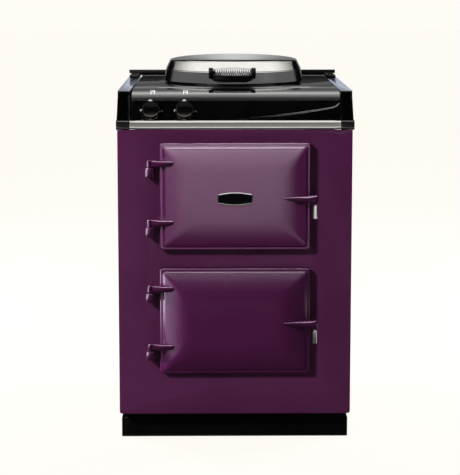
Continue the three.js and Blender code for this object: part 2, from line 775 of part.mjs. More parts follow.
// Each cheek spreads from the trim's own width at the hob to the cabinet's full width at its foot.
function makeTrims() {
  const ledgeY = [fasciaSeamDepth + trimCheekDepth, panelsBack];
  const ledgeZ = [trimUnderside - seat - trimLedgeThickness, trimUnderside - seat];
  for (const [name, outerX, width, inward] of [
    ['side_trim_left', -halfWidth, leftTrimWidth, 1], ['side_trim_right', halfWidth, rightTrimWidth, -1]]) {
    const sorted = (a, b) => [Math.min(a, b), Math.max(a, b)];
    const innerX = outerX + inward * width;
    const taperedX = outerX + inward * trimTaper;
    const front = polygon([[outerX, fasciaFootZ], [taperedX, trimUnderside], [taperedX, hobHeight],
      [innerX, hobHeight], [innerX, fasciaFootZ]]);
    const strip = common(prismX(trimOutline(), sorted(outerX, innerX)), prismY(front, [doorFront, cabinetDepth]));
    const step = box(sorted(innerX - inward * 2 * trimLedge, innerX), ledgeY, [ledgeZ[0], trimUnderside + 1]);
    const ledge = box(sorted(innerX - inward * 2 * trimLedge, innerX + inward * trimLedge), ledgeY, ledgeZ);
    place(cooker, name, join(strip, step, ledge), blackEnamel);
  }
}

function makeHandRail() {
  const centreZ = frontPanelTop - railDrop;
  const centreY = -railFrontDepth + railDepth / 2;
  const section = Array.from({ length: smallFacets }, (_, i) => {
    const angle = 2 * Math.PI * i / smallFacets;
    const bulge = (value) => Math.sign(value) * Math.abs(value) ** (2 / railSquareness);
    return [
      centreY + railDepth / 2 * bulge(Math.cos(angle)),
      centreZ + railHeight / 2 * bulge(Math.sin(angle)),
    ];
  });
  const endX = halfWidth - railEndWidth;
  place(cooker, 'hand_rail', prismX(polygon(section), [-endX + seat, endX - seat]), polishedSteel);

  const [bottom, top] = [centreZ - railHeight / 2, centreZ + railHeight / 2];
  const r = railEndCorner;
  const neckTop = Math.min(top, fasciaFootZ - seat);
  const cap = polygon([
    ...arc(-railFrontDepth + r, bottom + r, r, 270, 180, 4),
    ...arc(-railFrontDepth + r / 2, top - r / 2, r / 2, 180, 90, 3),
    [-fasciaFootDepth - 2 * seat, top], [-fasciaFootDepth - 2 * seat, neckTop],
    [-seat, neckTop], [-seat, bottom],
  ]);
  place(cooker, 'rail_end_left', prismX(cap, [-halfWidth, -endX]), blackTrim);
  place(cooker, 'rail_end_right', prismX(cap, [endX, halfWidth]), blackTrim);
}

// ---------------------------------------------------------------- knobs and switches

function makeKnobs() {
  const bodyFoot = knobFloat + knobSkirtThickness;
  const stemEnd = -switchFront + seat;
  const profile = [[0, stemEnd], [knobStemRadius, stemEnd], [knobStemRadius, knobFloat],
    [knobRadius - 1, knobFloat], [knobRadius, bodyFoot], [knobRadius - 0.5, knobLength - knobCrown - 2],
    ...[0.92, 0.75, 0.5, 0.25, 0].map((share) => [knobRadius * share, knobLength - knobCrown * share ** 2])];
  const [blunt, spread] = [3, 3.6];
  const skirt = polygon([[knobSkirt, 0], [knobSkirt - blunt, spread], [spread, knobSkirt - blunt],
    [0, knobPointer], [-spread, knobSkirt - blunt], [-knobSkirt + blunt, spread], [-knobSkirt, 0],
    [-knobSkirt + blunt, -spread], [-spread, -knobSkirt + blunt], [0, -knobSkirt],
    [spread, -knobSkirt + blunt], [knobSkirt - blunt, -spread]]);
  const knob = join(turned(profile, 2 * smallFacets), prismZ(skirt, [knobFloat, bodyFoot]));
  const half = switchSize / 2;
  const body = box([-half, half], [-half, half], [-switchFront - switchDepth, -switchFront]);
  for (const { side, position } of knobPlaces()) {
    const axle = group(cooker, position);
    axle.rotation.x = Math.PI / 2 - fasciaTilt;
    place(axle, `${side}_knob`, knob, blackPlastic);
    place(axle, `${side}_switch`, body, blackPlastic);
  }
}

// ---------------------------------------------------------------- hob

function makeHob() {
  const plateFront = fasciaSeamDepth + seat * 2;
  const plateBack = panelsBack;
  const plate = withHoles([[leftFaceEnd, plateFront], [rightFaceEnd, plateFront], [rightFaceEnd, plateBack],
    [leftFaceEnd, plateBack]], circle(0, lidCentreY, hotplateRadius + hotplateGap, fineFacets));
  const rimTop = hobHeight + rimHeight;
  const rim = turned([[rimInner, hobHeight - 1], [rimOuter, hobHeight - 1], [rimOuter, rimTop - 1],
    [rimOuter - 1, rimTop], [rimInner + 1, rimTop], [rimInner, rimTop - 1], [rimInner, hobHeight - 1]],
  fineFacets).translate(0, lidCentreY, 0);
  const sheetSpan = [hobHeight - topPlateThickness, hobHeight];
  place(cooker, 'top_plate', join(prismZ(plate, sheetSpan), rim), blackEnamel);

  const top = hobHeight + hotplateProud;
  const bottom = top - hotplateThickness;
  const hotplate = turned([[0, bottom], [hotplateRadius, bottom], [hotplateRadius, top - 1.5],
    [hotplateRadius - 1.5, top], [0, top]], fineFacets);
  place(cooker, 'hotplate', hotplate, rawIron, [0, lidCentreY, 0]);
  const ringTop = bottom - seat;
  const ringBottom = ringTop - hotplateElementThickness;
  const ring = turned([[hotplateElementInner, ringBottom], [hotplateElementOuter, ringBottom],
    [hotplateElementOuter, ringTop], [hotplateElementInner, ringTop], [hotplateElementInner, ringBottom]],
  smallFacets);
  place(cooker, 'hotplate_element', ring, rawIron, [0, lidCentreY, 0]);

  const barY = [cabinetDepth - upstandBarDepth, cabinetDepth];
  const barX = halfWidth - upstandEndGap;
  const barBottom = hobHeight + upstandRise;
  const bar = box([-barX, barX], barY, [barBottom, barBottom + upstandBarHeight]);
  const standHeights = [hobHeight + seat, barBottom + 1];
  const footOuter = halfWidth - upstandFootInset;
  const footInner = footOuter - upstandFootWidth;
  const feet = [-1, 1].map((side) => box([side * footOuter, side * footInner].sort((a, b) => a - b),
    [cabinetDepth - upstandFootLength, barY[1] - 1], standHeights));
  // A thin web under the bar joins the two feet along the back edge of the hob.
  const webBack = barY[1] - upstandWebThickness;
  const web = box([-footInner - 1, footInner + 1], [webBack - upstandWebThickness, webBack], standHeights);
  place(cooker, 'rear_upstand', join(bar, ...feet, web), blackTrim);
}

// ---------------------------------------------------------------- lid

// The lid's outer skin as [radius, height above its bottom edge].
function lidProfile(grow) {
  const shoulder = lidRadius - lidShoulderInset;
  const crown = lidHeight - lidShoulderHeight;
  const slope = [[1, 0], [0.94, 0.24], [0.82, 0.5], [0.6, 0.77], [0.33, 0.94]];
  return [
    [lidRadius + grow, 0],
    [lidRadius - lidWallLean + grow, lidWallHeight],
    [shoulder + 3.5 + grow, lidShoulderHeight - 4.5 + grow / 2],
    ...slope.map(([share, rise]) => [shoulder * share + grow * share, lidShoulderHeight + crown * rise + grow]),
    [0, lidHeight + grow],
  ];
}

function lidClearance() {
  return turned([[0, -lidHandleFoot], [lidRadius + seat, -lidHandleFoot], ...lidProfile(seat)], fineFacets);
}

function makeLid() {
  const lid = group(cooker, [0, lidCentreY, lidBottom]);
  const shell = turned([...lidProfile(0), ...lidProfile(-lidSheet).reverse(), [lidRadius, 0]], fineFacets);
  place(lid, 'lid_shell', shell, chrome);

  const linerRadius = lidRadius - lidWallLean * lidLinerRim / lidWallHeight - lidSheet - seat;
  const liner = turned([[0, 0], [linerRadius, 0], [linerRadius, lidLinerRim],
    [linerRadius - lidLinerSheet, lidLinerRim], [linerRadius - lidLinerSheet, lidLinerSheet],
    [0, lidLinerSheet]], fineFacets);
  place(lid, 'lid_liner', liner, polishedSteel);

  const wadBottom = lidLinerSheet + seat;
  const wadRadius = linerRadius - lidLinerSheet - seat;
  const wadShoulder = lidRadius - lidShoulderInset - 3 * lidSheet;
  const wad = turned([[0, wadBottom], [wadRadius, wadBottom], [wadRadius - lidWallLean, lidWallHeight - 3],
    [wadShoulder - 2, lidShoulderHeight - 2 * lidSheet], [0, lidShoulderHeight]], fineFacets);
  place(lid, 'lid_insulation', wad, paleFibre);
  makeLidHandle(lid);
  makeLidHinge(lid);
}

function makeLidHandle(lid) {
  const handle = group(lid, [lidHandleShift, 0, 0]);
  const axisY = -(lidRadius + lidHandleReach);
  const axisZ = lidHandleRise;
  const r = lidHandleCheekRadius;
  const inner = lidHandleSpan / 2;
  const wallY = -lidRadius / 2;
  const cheek = polygon([
    [wallY, lidHandleFoot], [axisY + 1.2 * r, lidHandleFoot],
    ...arc(axisY, axisZ, r, 225, 90, 6),
    [axisY + 2 * r, axisZ + r], [wallY, axisZ + r / 2],
  ]);
  const bar = box([-inner - 1, inner + 1], [-(lidRadius + lidHandleBarDepth), wallY],
    [lidHandleFoot, lidHandleBarTop]);
  const cheeks = [-1, 1].map((side) => prismX(cheek, [side * inner, side * (inner + lidHandleCheek)]
    .sort((a, b) => a - b)));
  const wall = lidClearance().translate(-lidHandleShift, 0, 0);
  place(handle, 'lid_handle_bracket', cut(join(bar, ...cheeks), wall), blackTrim);
  const rod = cylinderX(lidRodRadius, [-inner + seat, inner - seat], axisY, axisZ);
  place(handle, 'lid_handle_rod', rod, chrome);
  place(handle, 'lid_handle_coil', makeCoil(inner - seat), chrome, [0, axisY, axisZ]);
}

// One unbroken wire wound round the rod: wider at the middle, with a straight end square to each cheek.
function makeCoil(halfLength) {
  const lead = 2 * coilWireRadius;
  const wound = halfLength - lead;
  const count = coilTurns * coilSteps;
  const helix = Array.from({ length: count + 1 }, (_, i) => {
    const t = i / count;
    const angle = 2 * Math.PI * coilTurns * t;
    const radius = coilEndRadius + (coilMiddleRadius - coilEndRadius) * Math.sin(Math.PI * t);
    return new THREE.Vector3(-wound + 2 * wound * t, radius * Math.sin(angle), radius * Math.cos(angle));
  });
  const start = helix[0].clone().setX(-halfLength);
  const end = helix[count].clone().setX(halfLength);
  const path = [start, ...helix, end];
  reportLeastGap(helix);
  const tangents = path.map((point, i) => {
    const before = path[Math.max(i - 1, 0)];
    const after = path[Math.min(i + 1, path.length - 1)];
    return after.clone().sub(before).normalize();
  });
  let normal = new THREE.Vector3(0, 0, 1);
  const rings = path.map((point, i) => {
    normal = normal.clone().addScaledVector(tangents[i], -normal.dot(tangents[i])).normalize();
    const across = new THREE.Vector3().crossVectors(tangents[i], normal);
    return Array.from({ length: coilSides }, (_, side) => {
      const angle = 2 * Math.PI * side / coilSides;
      return point.clone().addScaledVector(normal, coilWireRadius * Math.cos(angle))
        .addScaledVector(across, coilWireRadius * Math.sin(angle));
    });
  });
  return skinOf(rings);
}

function reportLeastGap(points) {
  let least = Infinity;
  points.forEach((point, i) => {
    for (let j = i + coilSteps / 2; j < points.length; j += 1) {
      least = Math.min(least, point.distanceTo(points[j]) - 2 * coilWireRadius);
    }
  });
  console.log(`handle coil: least gap to itself ${least.toFixed(2)} mm`);
}

function makeLidHinge(lid) {
  const pinY = lidRadius + lidHingeGap;
  const pinZ = lidHingeZ - lidBottom;
  const halfSpan = lidHingeSpan / 2;
  const halfArm = lidArmThickness / 2;
  const armX = halfSpan - 2 * seat;
  const plate = box([-armX, armX], [lidRadius / 2, pinY], [pinZ - halfArm, pinZ + halfArm]);
  const barrel = cylinderX(lidBarrelRadius, [-armX, armX], pinY, pinZ);
  const bore = cylinderX(lidPinRadius + pinClearance, [-halfSpan, halfSpan], pinY, pinZ);
  place(lid, 'lid_hinge_arm', cut(join(plate, barrel), bore, lidClearance()), blackTrim);

  const hinge = group(cooker, [0, lidHingeY, lidHingeZ]);
  const foot = hobHeight + seat - lidHingeZ;
  const r = lidHingePlateRadius;
  const side = withHoles([...arc(0, 0, r, 0, 180, 8), [-r - 4, foot], [r + 4, foot]],
    circle(0, 0, lidPinRadius + pinClearance, smallFacets));
  place(hinge, 'lid_hinge_bracket_left', prismX(side, [-halfSpan - lidHingePlate, -halfSpan]), blackTrim);
  place(hinge, 'lid_hinge_bracket_right', prismX(side, [halfSpan, halfSpan + lidHingePlate]), blackTrim);
  const pinHalf = halfSpan + lidHingePlate + 2;
  place(hinge, 'lid_hinge_pin', cylinderX(lidPinRadius, [-pinHalf, pinHalf], 0, 0), polishedSteel);
}

// ---------------------------------------------------------------- mains inlet

function makeMainsInlet() {
  const half = [terminalWidth / 2, terminalHeight / 2];
  const boxBack = panelsBack - seat;
  place(cooker, 'terminal_box', box([terminalX - half[0], terminalX + half[0]],
    [boxBack - terminalDepth, boxBack], [terminalZ - half[1], terminalZ + half[1]]), blackPlastic);
  const gland = turned([[0, boxBack + seat], [glandRadius, boxBack + seat], [glandRadius, cabinetDepth + seat],
    [glandFlange, cabinetDepth + seat], [glandFlange - 2, cabinetDepth + glandReach],
    [0, cabinetDepth + glandReach]], smallFacets).rotateX(-Math.PI / 2);
  place(cooker, 'cable_gland', gland, blackPlastic, [terminalX, 0, terminalZ]);
}

// ---------------------------------------------------------------- assembly

makeBase();
makePanels();
makeInsulation();
makeOven('upper', upperOvenZ);
makeOven('lower', lowerOvenZ);
const upperDoor = makeDoor('upper', upperOvenZ);
makeDoor('lower', lowerOvenZ);
place(upperDoor, 'door_badge', prismY(badgeOutline(), [-badgeThickness, 0]), chrome,
  [0, doorFront - seat, -badgeDrop]);
makeFascia();
makeTrims();
makeHandRail();
makeKnobs();
makeHob();
makeLid();
makeMainsInlet();

const object = new THREE.Group();
object.add(cooker);
export default object;
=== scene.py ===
# %% [markdown]
# # Dressing a cast iron range cooker
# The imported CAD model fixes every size, place and joint. This lesson gives that model its looks: enamel,
# polished steel and chrome, and finer versions of the pieces whose curves the plain solids only sketch.
# Lengths are metres here. The cooker faces -Y, X runs to the right and Z is up.

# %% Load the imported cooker
import json
import math

import bmesh
import bpy
from mathutils import Matrix, Vector

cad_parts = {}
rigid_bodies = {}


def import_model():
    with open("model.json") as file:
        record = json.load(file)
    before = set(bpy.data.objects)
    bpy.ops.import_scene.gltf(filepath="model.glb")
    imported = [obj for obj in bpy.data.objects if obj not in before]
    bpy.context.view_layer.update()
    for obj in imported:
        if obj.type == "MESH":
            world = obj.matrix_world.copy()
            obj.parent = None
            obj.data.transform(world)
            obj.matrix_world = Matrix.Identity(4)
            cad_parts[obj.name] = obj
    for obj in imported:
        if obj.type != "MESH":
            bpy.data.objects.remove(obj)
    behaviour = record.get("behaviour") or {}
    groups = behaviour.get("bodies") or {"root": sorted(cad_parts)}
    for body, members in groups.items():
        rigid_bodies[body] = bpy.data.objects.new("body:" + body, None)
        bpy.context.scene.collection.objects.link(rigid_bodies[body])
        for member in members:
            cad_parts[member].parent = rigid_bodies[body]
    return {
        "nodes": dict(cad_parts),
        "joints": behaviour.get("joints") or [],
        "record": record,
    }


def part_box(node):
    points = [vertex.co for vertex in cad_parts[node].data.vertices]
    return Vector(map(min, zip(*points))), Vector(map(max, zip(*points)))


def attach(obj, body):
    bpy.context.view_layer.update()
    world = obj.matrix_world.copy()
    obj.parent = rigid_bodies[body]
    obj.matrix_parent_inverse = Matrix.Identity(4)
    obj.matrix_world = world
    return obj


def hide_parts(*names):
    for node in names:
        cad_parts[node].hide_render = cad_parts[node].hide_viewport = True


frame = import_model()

NODES = frame["nodes"]
BODIES = frame["record"]["behaviour"]["bodies"]
BODY_OF = {node: body for body, members in BODIES.items() for node in members}
MM = 0.001
scene = bpy.context.scene
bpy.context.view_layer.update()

# %% [markdown]
# ## A small language for node trees
# A finish is a tree of shader nodes. Wiring a tree by hand hides the idea, so a few short classes let it be
# written as sums. A Wire is a socket that can be added, multiplied and so on, and each sum adds a Math node.
# A Board is a tree with one way of adding any other node. A Finish is a Board round one surface shader.

# %% Wires and boards
def rgb(code):
    """A colour from its usual six-digit code, turned into the linear light that the renderer works in."""
    shares = [int(code[i:i + 2], 16) / 255 for i in (0, 2, 4)]
    return (*[s / 12.92 if s <= 0.04045 else ((s + 0.055) / 1.055) ** 2.4 for s in shares], 1)


class Wire:
    """A number socket. Sums written with it add Math nodes to its board."""

    def __init__(self, board, socket):
        self.board, self.socket = board, socket

    def __add__(self, other):
        return self.board.maths("ADD", self, other)

    def __radd__(self, other):
        return self.board.maths("ADD", other, self)

    def __sub__(self, other):
        return self.board.maths("SUBTRACT", self, other)

    def __rsub__(self, other):
        return self.board.maths("SUBTRACT", other, self)

    def __mul__(self, other):
        return self.board.maths("MULTIPLY", self, other)

    def __rmul__(self, other):
        return self.board.maths("MULTIPLY", other, self)


class Board:
    """A node tree, and the one way of adding a node to it."""

    def __init__(self, tree):
        self.tree = tree

    def maths(self, operation, first, second=0):
        return self.add("ShaderNodeMath", {"operation": operation}, {0: first, 1: second})

    def plug(self, socket, value):
        if isinstance(value, Wire):
            self.tree.links.new(value.socket, socket)
        else:
            socket.default_value = value

    def add(self, kind, settings=None, sockets=None, out=0):
        node = self.tree.nodes.new(kind)
        for name, value in (settings or {}).items():
            setattr(node, name, value)
        for name, value in (sockets or {}).items():
            self.plug(node.inputs[name], value)
        return Wire(self, node.outputs[out])

    def place(self, stretch=(1, 1, 1)):
        """Where a point lies on the piece, in metres, stretched along any axis."""
        spot = self.add("ShaderNodeTexCoord", out="Object")
        return self.add("ShaderNodeMapping", None, {"Vector": spot, "Scale": stretch})

    def noise(self, scale, detail=2, stretch=(1, 1, 1)):
        return self.add("ShaderNodeTexNoise", None,
                        {"Vector": self.place(stretch), "Scale": scale, "Detail": detail})

    def band(self, value, low, high, start=0.0, end=1.0):
        """Start below low, end above high, and a smooth change between them."""
        return self.add("ShaderNodeMapRange", {"interpolation_type": "SMOOTHSTEP"},
                        {0: value, 1: low, 2: high, 3: start, 4: end})

    def blend(self, share, first, second):
        return self.add("ShaderNodeMix", {"data_type": "RGBA"}, {0: share, 6: first, 7: second}, out=2)


class Finish(Board):
    """One surface. Words such as Base_Color or Roughness name the shader's own sockets."""

    def __init__(self, name, slot, **surface):
        self.material = bpy.data.materials.new(name)
        self.material.use_nodes = True
        super().__init__(self.material.node_tree)
        self.shader = self.tree.nodes["Principled BSDF"]
        self.slot = slot
        self.set(**surface)

    def set(self, **surface):
        for name, value in surface.items():
            self.plug(self.shader.inputs[name.replace("_", " ")], value)

    def relief(self, height, depth):
        """Bump of a real depth in metres, from a height between 0 and 1."""
        self.set(Normal=self.add("ShaderNodeBump", None, {"Height": height, "Distance": depth}))


print("shader language ready")

# %% [markdown]
# ## The camera
# The photograph was taken from about 3.9 m away, a little left of the middle and above lid height, with the
# lens shifted so that upright edges stay upright. A full shift would push the cooker out of the picture when
# the camera goes round it. So this camera stands in the same place, tilts down and shifts only a little.

# %% Camera
CAMERA_PLACE = (-0.0562, -4.223, 1.2125)
CAMERA_TILT, CAMERA_TURN = 7.59, 0.63
LENS_LENGTH, LENS_SHIFT = 118, -0.12
lens = bpy.data.cameras.new("camera")
lens.lens = LENS_LENGTH
lens.shift_y = LENS_SHIFT
camera = bpy.data.objects.new("camera", lens)
camera.location = CAMERA_PLACE
camera.rotation_euler = (math.radians(90 - CAMERA_TILT), 0, -math.radians(CAMERA_TURN))
scene.collection.objects.link(camera)
scene.camera = camera
scene.view_settings.view_transform = "Standard"
print("camera", CAMERA_PLACE, "lens", LENS_LENGTH)

# %% [markdown]
# ## The studio
# Enamel, chrome and glossy plastic look mostly like what they reflect. The photograph has a white ceiling, a
# grey wall behind the cooker and darkness in front of it. The world gives the white room, and boards that
# only reflections see stand where a photographer puts black and grey ones.

# %% Room light
CREAM, BLACK, ROOM_LIGHT = rgb("FFFBF5"), rgb("000000"), rgb("F4F5FA")
ROOM_STRENGTH = 0.07
world = bpy.data.worlds.new("studio")
world.use_nodes = True
scene.world = world
sky = Board(world.node_tree)


def shown_rays(board):
    """1 for the rays that show the background: straight from the camera, mirrored, or through glass."""
    rays = board.tree.nodes.new("ShaderNodeLightPath")
    kinds = [Wire(board, rays.outputs[f"Is {kind} Ray"]) for kind in ("Camera", "Glossy", "Transmission")]
    return board.maths("MINIMUM", kinds[0] + kinds[1] + kinds[2], 1)


shown = shown_rays(sky)
room = sky.tree.nodes["Background"]
sky.plug(room.inputs["Color"], sky.blend(shown, ROOM_LIGHT, CREAM))
sky.plug(room.inputs["Strength"], ROOM_STRENGTH + (1 - ROOM_STRENGTH) * shown)
print("room light strength", ROOM_STRENGTH)


# %% Lamps and boards
def receive(source, pieces, shaded_by=None):
    """Lets a lamp or board light only some pieces, and if asked lets only some pieces shade its light."""
    for use, members in (("receiver", pieces), ("blocker", shaded_by)):
        if members is not None:
            chosen = bpy.data.collections.new(f"{use}s_of_{source.name}")
            for piece in members:
                chosen.objects.link(piece)
            setattr(source.light_linking, f"{use}_collection", chosen)
    return source


def softbox(name, spot, target, size, power, mirrored=True):
    """A square lamp that the camera itself does not see."""
    light = bpy.data.lights.new(name, "AREA")
    light.size = size
    light.energy = power
    lamp = bpy.data.objects.new(name, light)
    lamp.location = spot
    lamp.rotation_euler = (Vector(target) - Vector(spot)).to_track_quat("-Z", "Y").to_euler()
    lamp.visible_camera = False
    lamp.visible_glossy = mirrored
    scene.collection.objects.link(lamp)
    return lamp


class Glow(Board):
    """The light of a board. Its colour may change over the board, up to a strength."""

    def __init__(self, name, strength, clear=False):
        self.material = bpy.data.materials.new(name)
        self.material.use_nodes = True
        super().__init__(self.material.node_tree)
        self.light = self.add("ShaderNodeEmission", None, {"Color": BLACK, "Strength": strength})
        shine = self.light
        if clear:
            through = self.add("ShaderNodeBsdfTransparent")
            shine = self.add("ShaderNodeAddShader", None, {0: shine, 1: through})
        self.plug(self.tree.nodes["Material Output"].inputs["Surface"], shine)

    def where(self, axis):
        """The board's own X, Y or Z in metres."""
        spot = self.add("ShaderNodeTexCoord", out="Object")
        return self.add("ShaderNodeSeparateXYZ", None, {0: spot}, axis)

    def shade(self, share, dark, bright):
        self.plug(self.light.socket.node.inputs["Color"], self.blend(share, dark, bright))


def board(name, corners, faces, glow):
    """A sheet that only reflections see."""
    mesh = bpy.data.meshes.new(name)
    mesh.from_pydata(corners, [], faces)
    mesh.materials.append(glow.material)
    sheet = bpy.data.objects.new(name, mesh)
    sheet.visible_camera = sheet.visible_diffuse = sheet.visible_shadow = sheet.visible_transmission = False
    scene.collection.objects.link(sheet)
    sheet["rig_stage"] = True
    return sheet


BEND_STEPS = 24


def curved_board(name, radius, start, end, low, high, glow):
    """An upright board bent round the cooker, from one angle to another in degrees from the front. Its low
    and high edges change with the angle."""
    turns = [math.radians(start + (end - start) * i / BEND_STEPS) for i in range(BEND_STEPS + 1)]
    corners = [(radius * math.sin(t), -radius * math.cos(t), edge(t)) for edge in (low, high) for t in turns]
    row = len(turns)
    return board(name, corners, [(i, i + 1, i + 1 + row, i + row) for i in range(BEND_STEPS)], glow)


def flat_board(name, x, y, z, glow):
    """An upright board facing the cooker, between two places on X and on Z."""
    corners = [(x[0], y, z[0]), (x[1], y, z[0]), (x[1], y, z[1]), (x[0], y, z[1])]
    return board(name, corners, [(0, 1, 2, 3)], glow)


def side_board(name, x, y, z, glow):
    """An upright board at one side of the cooker, between two places on Y and on Z."""
    corners = [(x, y[0], z[0]), (x, y[1], z[0]), (x, y[1], z[1]), (x, y[0], z[1])]
    return board(name, corners, [(0, 1, 2, 3)], glow)


def level_board(name, x, y, z, glow):
    """A board lying flat, between two places on X and on Y."""
    corners = [(x[0], y[0], z), (x[1], y[0], z), (x[1], y[1], z), (x[0], y[1], z)]
    return board(name, corners, [(0, 1, 2, 3)], glow)


def edge_at(height):
    """A level edge of a curved board."""
    return lambda turn: height


def lower_at_sides(middle, side):
    """An edge that is high in the middle of a curved board and lower towards its sides."""
    return lambda turn: side + (middle - side) * max(0, math.cos(turn))


COOKER_MIDDLE, COOKER_REAR = (0, 0, 0.5), (0, 0.1, 0.5)
softbox("fill_softbox", (2.4, -1.6, 2.2), COOKER_MIDDLE, 1.2, 5)
softbox("left_rear_softbox", (-2.6, 1.4, 1.6), COOKER_REAR, 1.4, 70, mirrored=False)
softbox("right_rear_softbox", (2.8, 1.2, 1.6), COOKER_REAR, 1.4, 70, mirrored=False)

# The front board is dark grey low down, where the panel looks, and nearly black higher up and at its sides.
front = Glow("front_board", 1.0)
upper_part, side_part = front.band(front.where("Z"), 0.45, 1.0), front.band(front.where("Y"), -1.3, -0.6)
front.shade(front.maths("MAXIMUM", upper_part, side_part), rgb("4A4A4C"), rgb("101012"))
curved_board("front_board", 2.3, -130, 130, edge_at(0), lower_at_sides(2.4, 1.7), front)

# The rear board is light grey in the middle, for the lid's top, and black at its sides and higher up.
rear = Glow("rear_board", 1.0)
sideways = rear.maths("ABSOLUTE", rear.where("X") - 0.04)
greys = rear.blend(rear.band(sideways, 0, 0.3), rgb("CCCCCC"), rgb("7C7C7C"))
edges = rear.maths("MAXIMUM", rear.band(sideways, 0.9, 1.25), rear.band(rear.where("Z"), 1.7, 2.0))
rear.shade(edges, greys, rgb("060607"))
curved_board("rear_board", 2.6, 130, 230, edge_at(0), edge_at(3.2), rear)

# The canopy is white overhead and fades to dark grey at both sides, which shapes the lid's upper wall.
canopy = Glow("lid_canopy", 1.0)
canopy.shade(canopy.band(canopy.where("Y"), -0.5, 1.5), CREAM, rgb("303032"))
curved_board("lid_canopy", 1.5, -135, 135, lower_at_sides(1.95, 1.4), edge_at(4.5), canopy)

# A dark cloth lies on the floor in front of the cooker, so that no downward face mirrors the bright floor.
cloth = Glow("floor_cloth", 1.0)
cloth.shade(1, BLACK, rgb("363638"))
level_board("floor_cloth", (-1.7, 1.7), (-2.2, -0.2395), 0.003, cloth)
print("boards stand round the cooker")

# %% [markdown]
# ## The floor
# The photograph's floor melts into the background. A floor that is only lit never matches it, so most of its
# colour is its own glow for the rays that show it, and the rest is lit, which keeps the cooker's soft shadow.

# %% Floor
FLOOR_GLOW, FLOOR_SHARE, FLOOR_REACH = 1.13, 0.86, 30
floor_finish = Finish("cream_floor", None, Base_Color=CREAM, Roughness=0.9)
glow = floor_finish.add("ShaderNodeEmission", None, {"Color": CREAM, "Strength": FLOOR_GLOW})
output = floor_finish.tree.nodes["Material Output"]
lit = Wire(floor_finish, floor_finish.shader.outputs[0])
mixed = floor_finish.add("ShaderNodeMixShader", None,
                         {0: shown_rays(floor_finish) * FLOOR_SHARE, 1: lit, 2: glow})
floor_finish.plug(output.inputs["Surface"], mixed)
floor_mesh = bpy.data.meshes.new("floor")
floor_corners = [(x * FLOOR_REACH, y * FLOOR_REACH, 0) for x, y in ((-1, -1), (1, -1), (1, 1), (-1, 1))]
floor_mesh.from_pydata(floor_corners, [], [(0, 1, 2, 3)])
floor = bpy.data.objects.new("floor", floor_mesh)
floor_mesh.materials.append(floor_finish.material)
scene.collection.objects.link(floor)
floor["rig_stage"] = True
print("floor laid")

# %% [markdown]
# ## Vitreous enamel
# The cabinet and doors are iron with a coat of coloured glass melted on. It is glossy, but it is never quite
# flat: the surface has a faint ripple from the casting and a finer skin like orange peel. The colour varies a
# little where the coat is thicker. So the colour, gloss and relief all come from gentle noise in real sizes.
# A noise scale counts the waves in a metre: 22 gives waves about 45 mm long, and 240 a skin of about 4 mm.

# %% Coloured enamels
THICKNESS_SCALE, SPECK_SCALE, SMEAR_SCALE, WAVE_SCALE, PEEL_SCALE = 5, 900, 30, 22, 240


def enamel(name, slot, deep, light, ripple, shine=0.5):
    """Glass coat on iron, between two near colours. ripple is the depth of the casting's waves in metres."""
    coat = Finish(name, slot, Specular_IOR_Level=shine)
    thickness = coat.band(coat.noise(THICKNESS_SCALE, 3), 0.3, 0.7)
    speck = coat.band(coat.noise(SPECK_SCALE, 1), 0.62, 0.72)
    coat.set(Base_Color=coat.blend(speck * 0.25, coat.blend(thickness, rgb(deep), rgb(light)), rgb(deep)),
             Roughness=0.1 + 0.07 * coat.noise(SMEAR_SCALE))
    coat.relief(0.7 * coat.noise(WAVE_SCALE, 1) + 0.3 * coat.noise(PEEL_SCALE, 1), ripple)
    return coat


purple_enamel = enamel("purple_enamel", "purple_enamel", "491D40", "4D2144", 0.22 * MM)
# The doors use the cabinet's enamel in a darker colour. This darkening is painted shade on the doors, not a
# colour of their own.
door_enamel_painted_shade = enamel("door_enamel_painted_shade", "purple_enamel", "42123A", "46153D", 0.1 * MM)
black_enamel = enamel("black_enamel", "black_enamel", "020203", "050507", 0.12 * MM, shine=0.3)
print("enamels made")

# %% [markdown]
# ## Painted and moulded black parts
# The plinth and the lid's handle and hinge have a satin powder coat, with a fine pebble skin, and the rail
# ends a glossier one. The knobs are a glossy hard plastic, with a smoother skin that shows light handling
# marks as changes in gloss. Their pointers are silver and their marks are white print.

# %% Black trim, plastic and print
def painted(name, slot, dark, light, patches, gloss, smears, skin=None, **surface):
    """A paint or plastic between two near colours. gloss is (least, change) of the roughness, smears is the
    scale of its changes, and skin is (scale, depth in metres) of the fine relief."""
    paint = Finish(name, slot, **surface)
    paint.set(Base_Color=paint.blend(paint.noise(patches), rgb(dark), rgb(light)),
              Roughness=gloss[0] + gloss[1] * paint.noise(*smears))
    if skin:
        paint.relief(paint.noise(skin[0], 1), skin[1])
    return paint


black_trim = painted("satin_black_paint", "black_trim", "060607", "0B0B0C", 14, (0.3, 0.14), (60,),
                     (1400, 0.05 * MM), Specular_IOR_Level=0.2)
gloss_black = painted("gloss_black_paint", "black_trim", "040405", "09090A", 14, (0.1, 0.08), (60,),
                      (900, 0.02 * MM), Specular_IOR_Level=0.5)
black_plastic = painted("glossy_black_plastic", "black_plastic", "020203", "060608", 30, (0.08, 0.1), (90, 4),
                        (300, 0.03 * MM), Specular_IOR_Level=0.12)
silver_print = painted("silver_print", "black_plastic", "BDBDBC", "D6D6D4", 200, (0.25, 0.1), (100,),
                       Metallic=0.3)
white_print = painted("white_print", "black_plastic", "E4E4E2", "F2F2F0", 200, (0.3, 0.1), (100,))
print("paints and plastics made")

# %% [markdown]
# ## Bright metals
# The hand rail and grips are polished steel: fine lines run along them from the polishing belt, so the noise
# is stretched that way. The lid and its wire handle are chrome plate, smoother and darker in its scratches.
# The back panel and the feet are coated with zinc, whose crystals show as patches of slightly different grey.

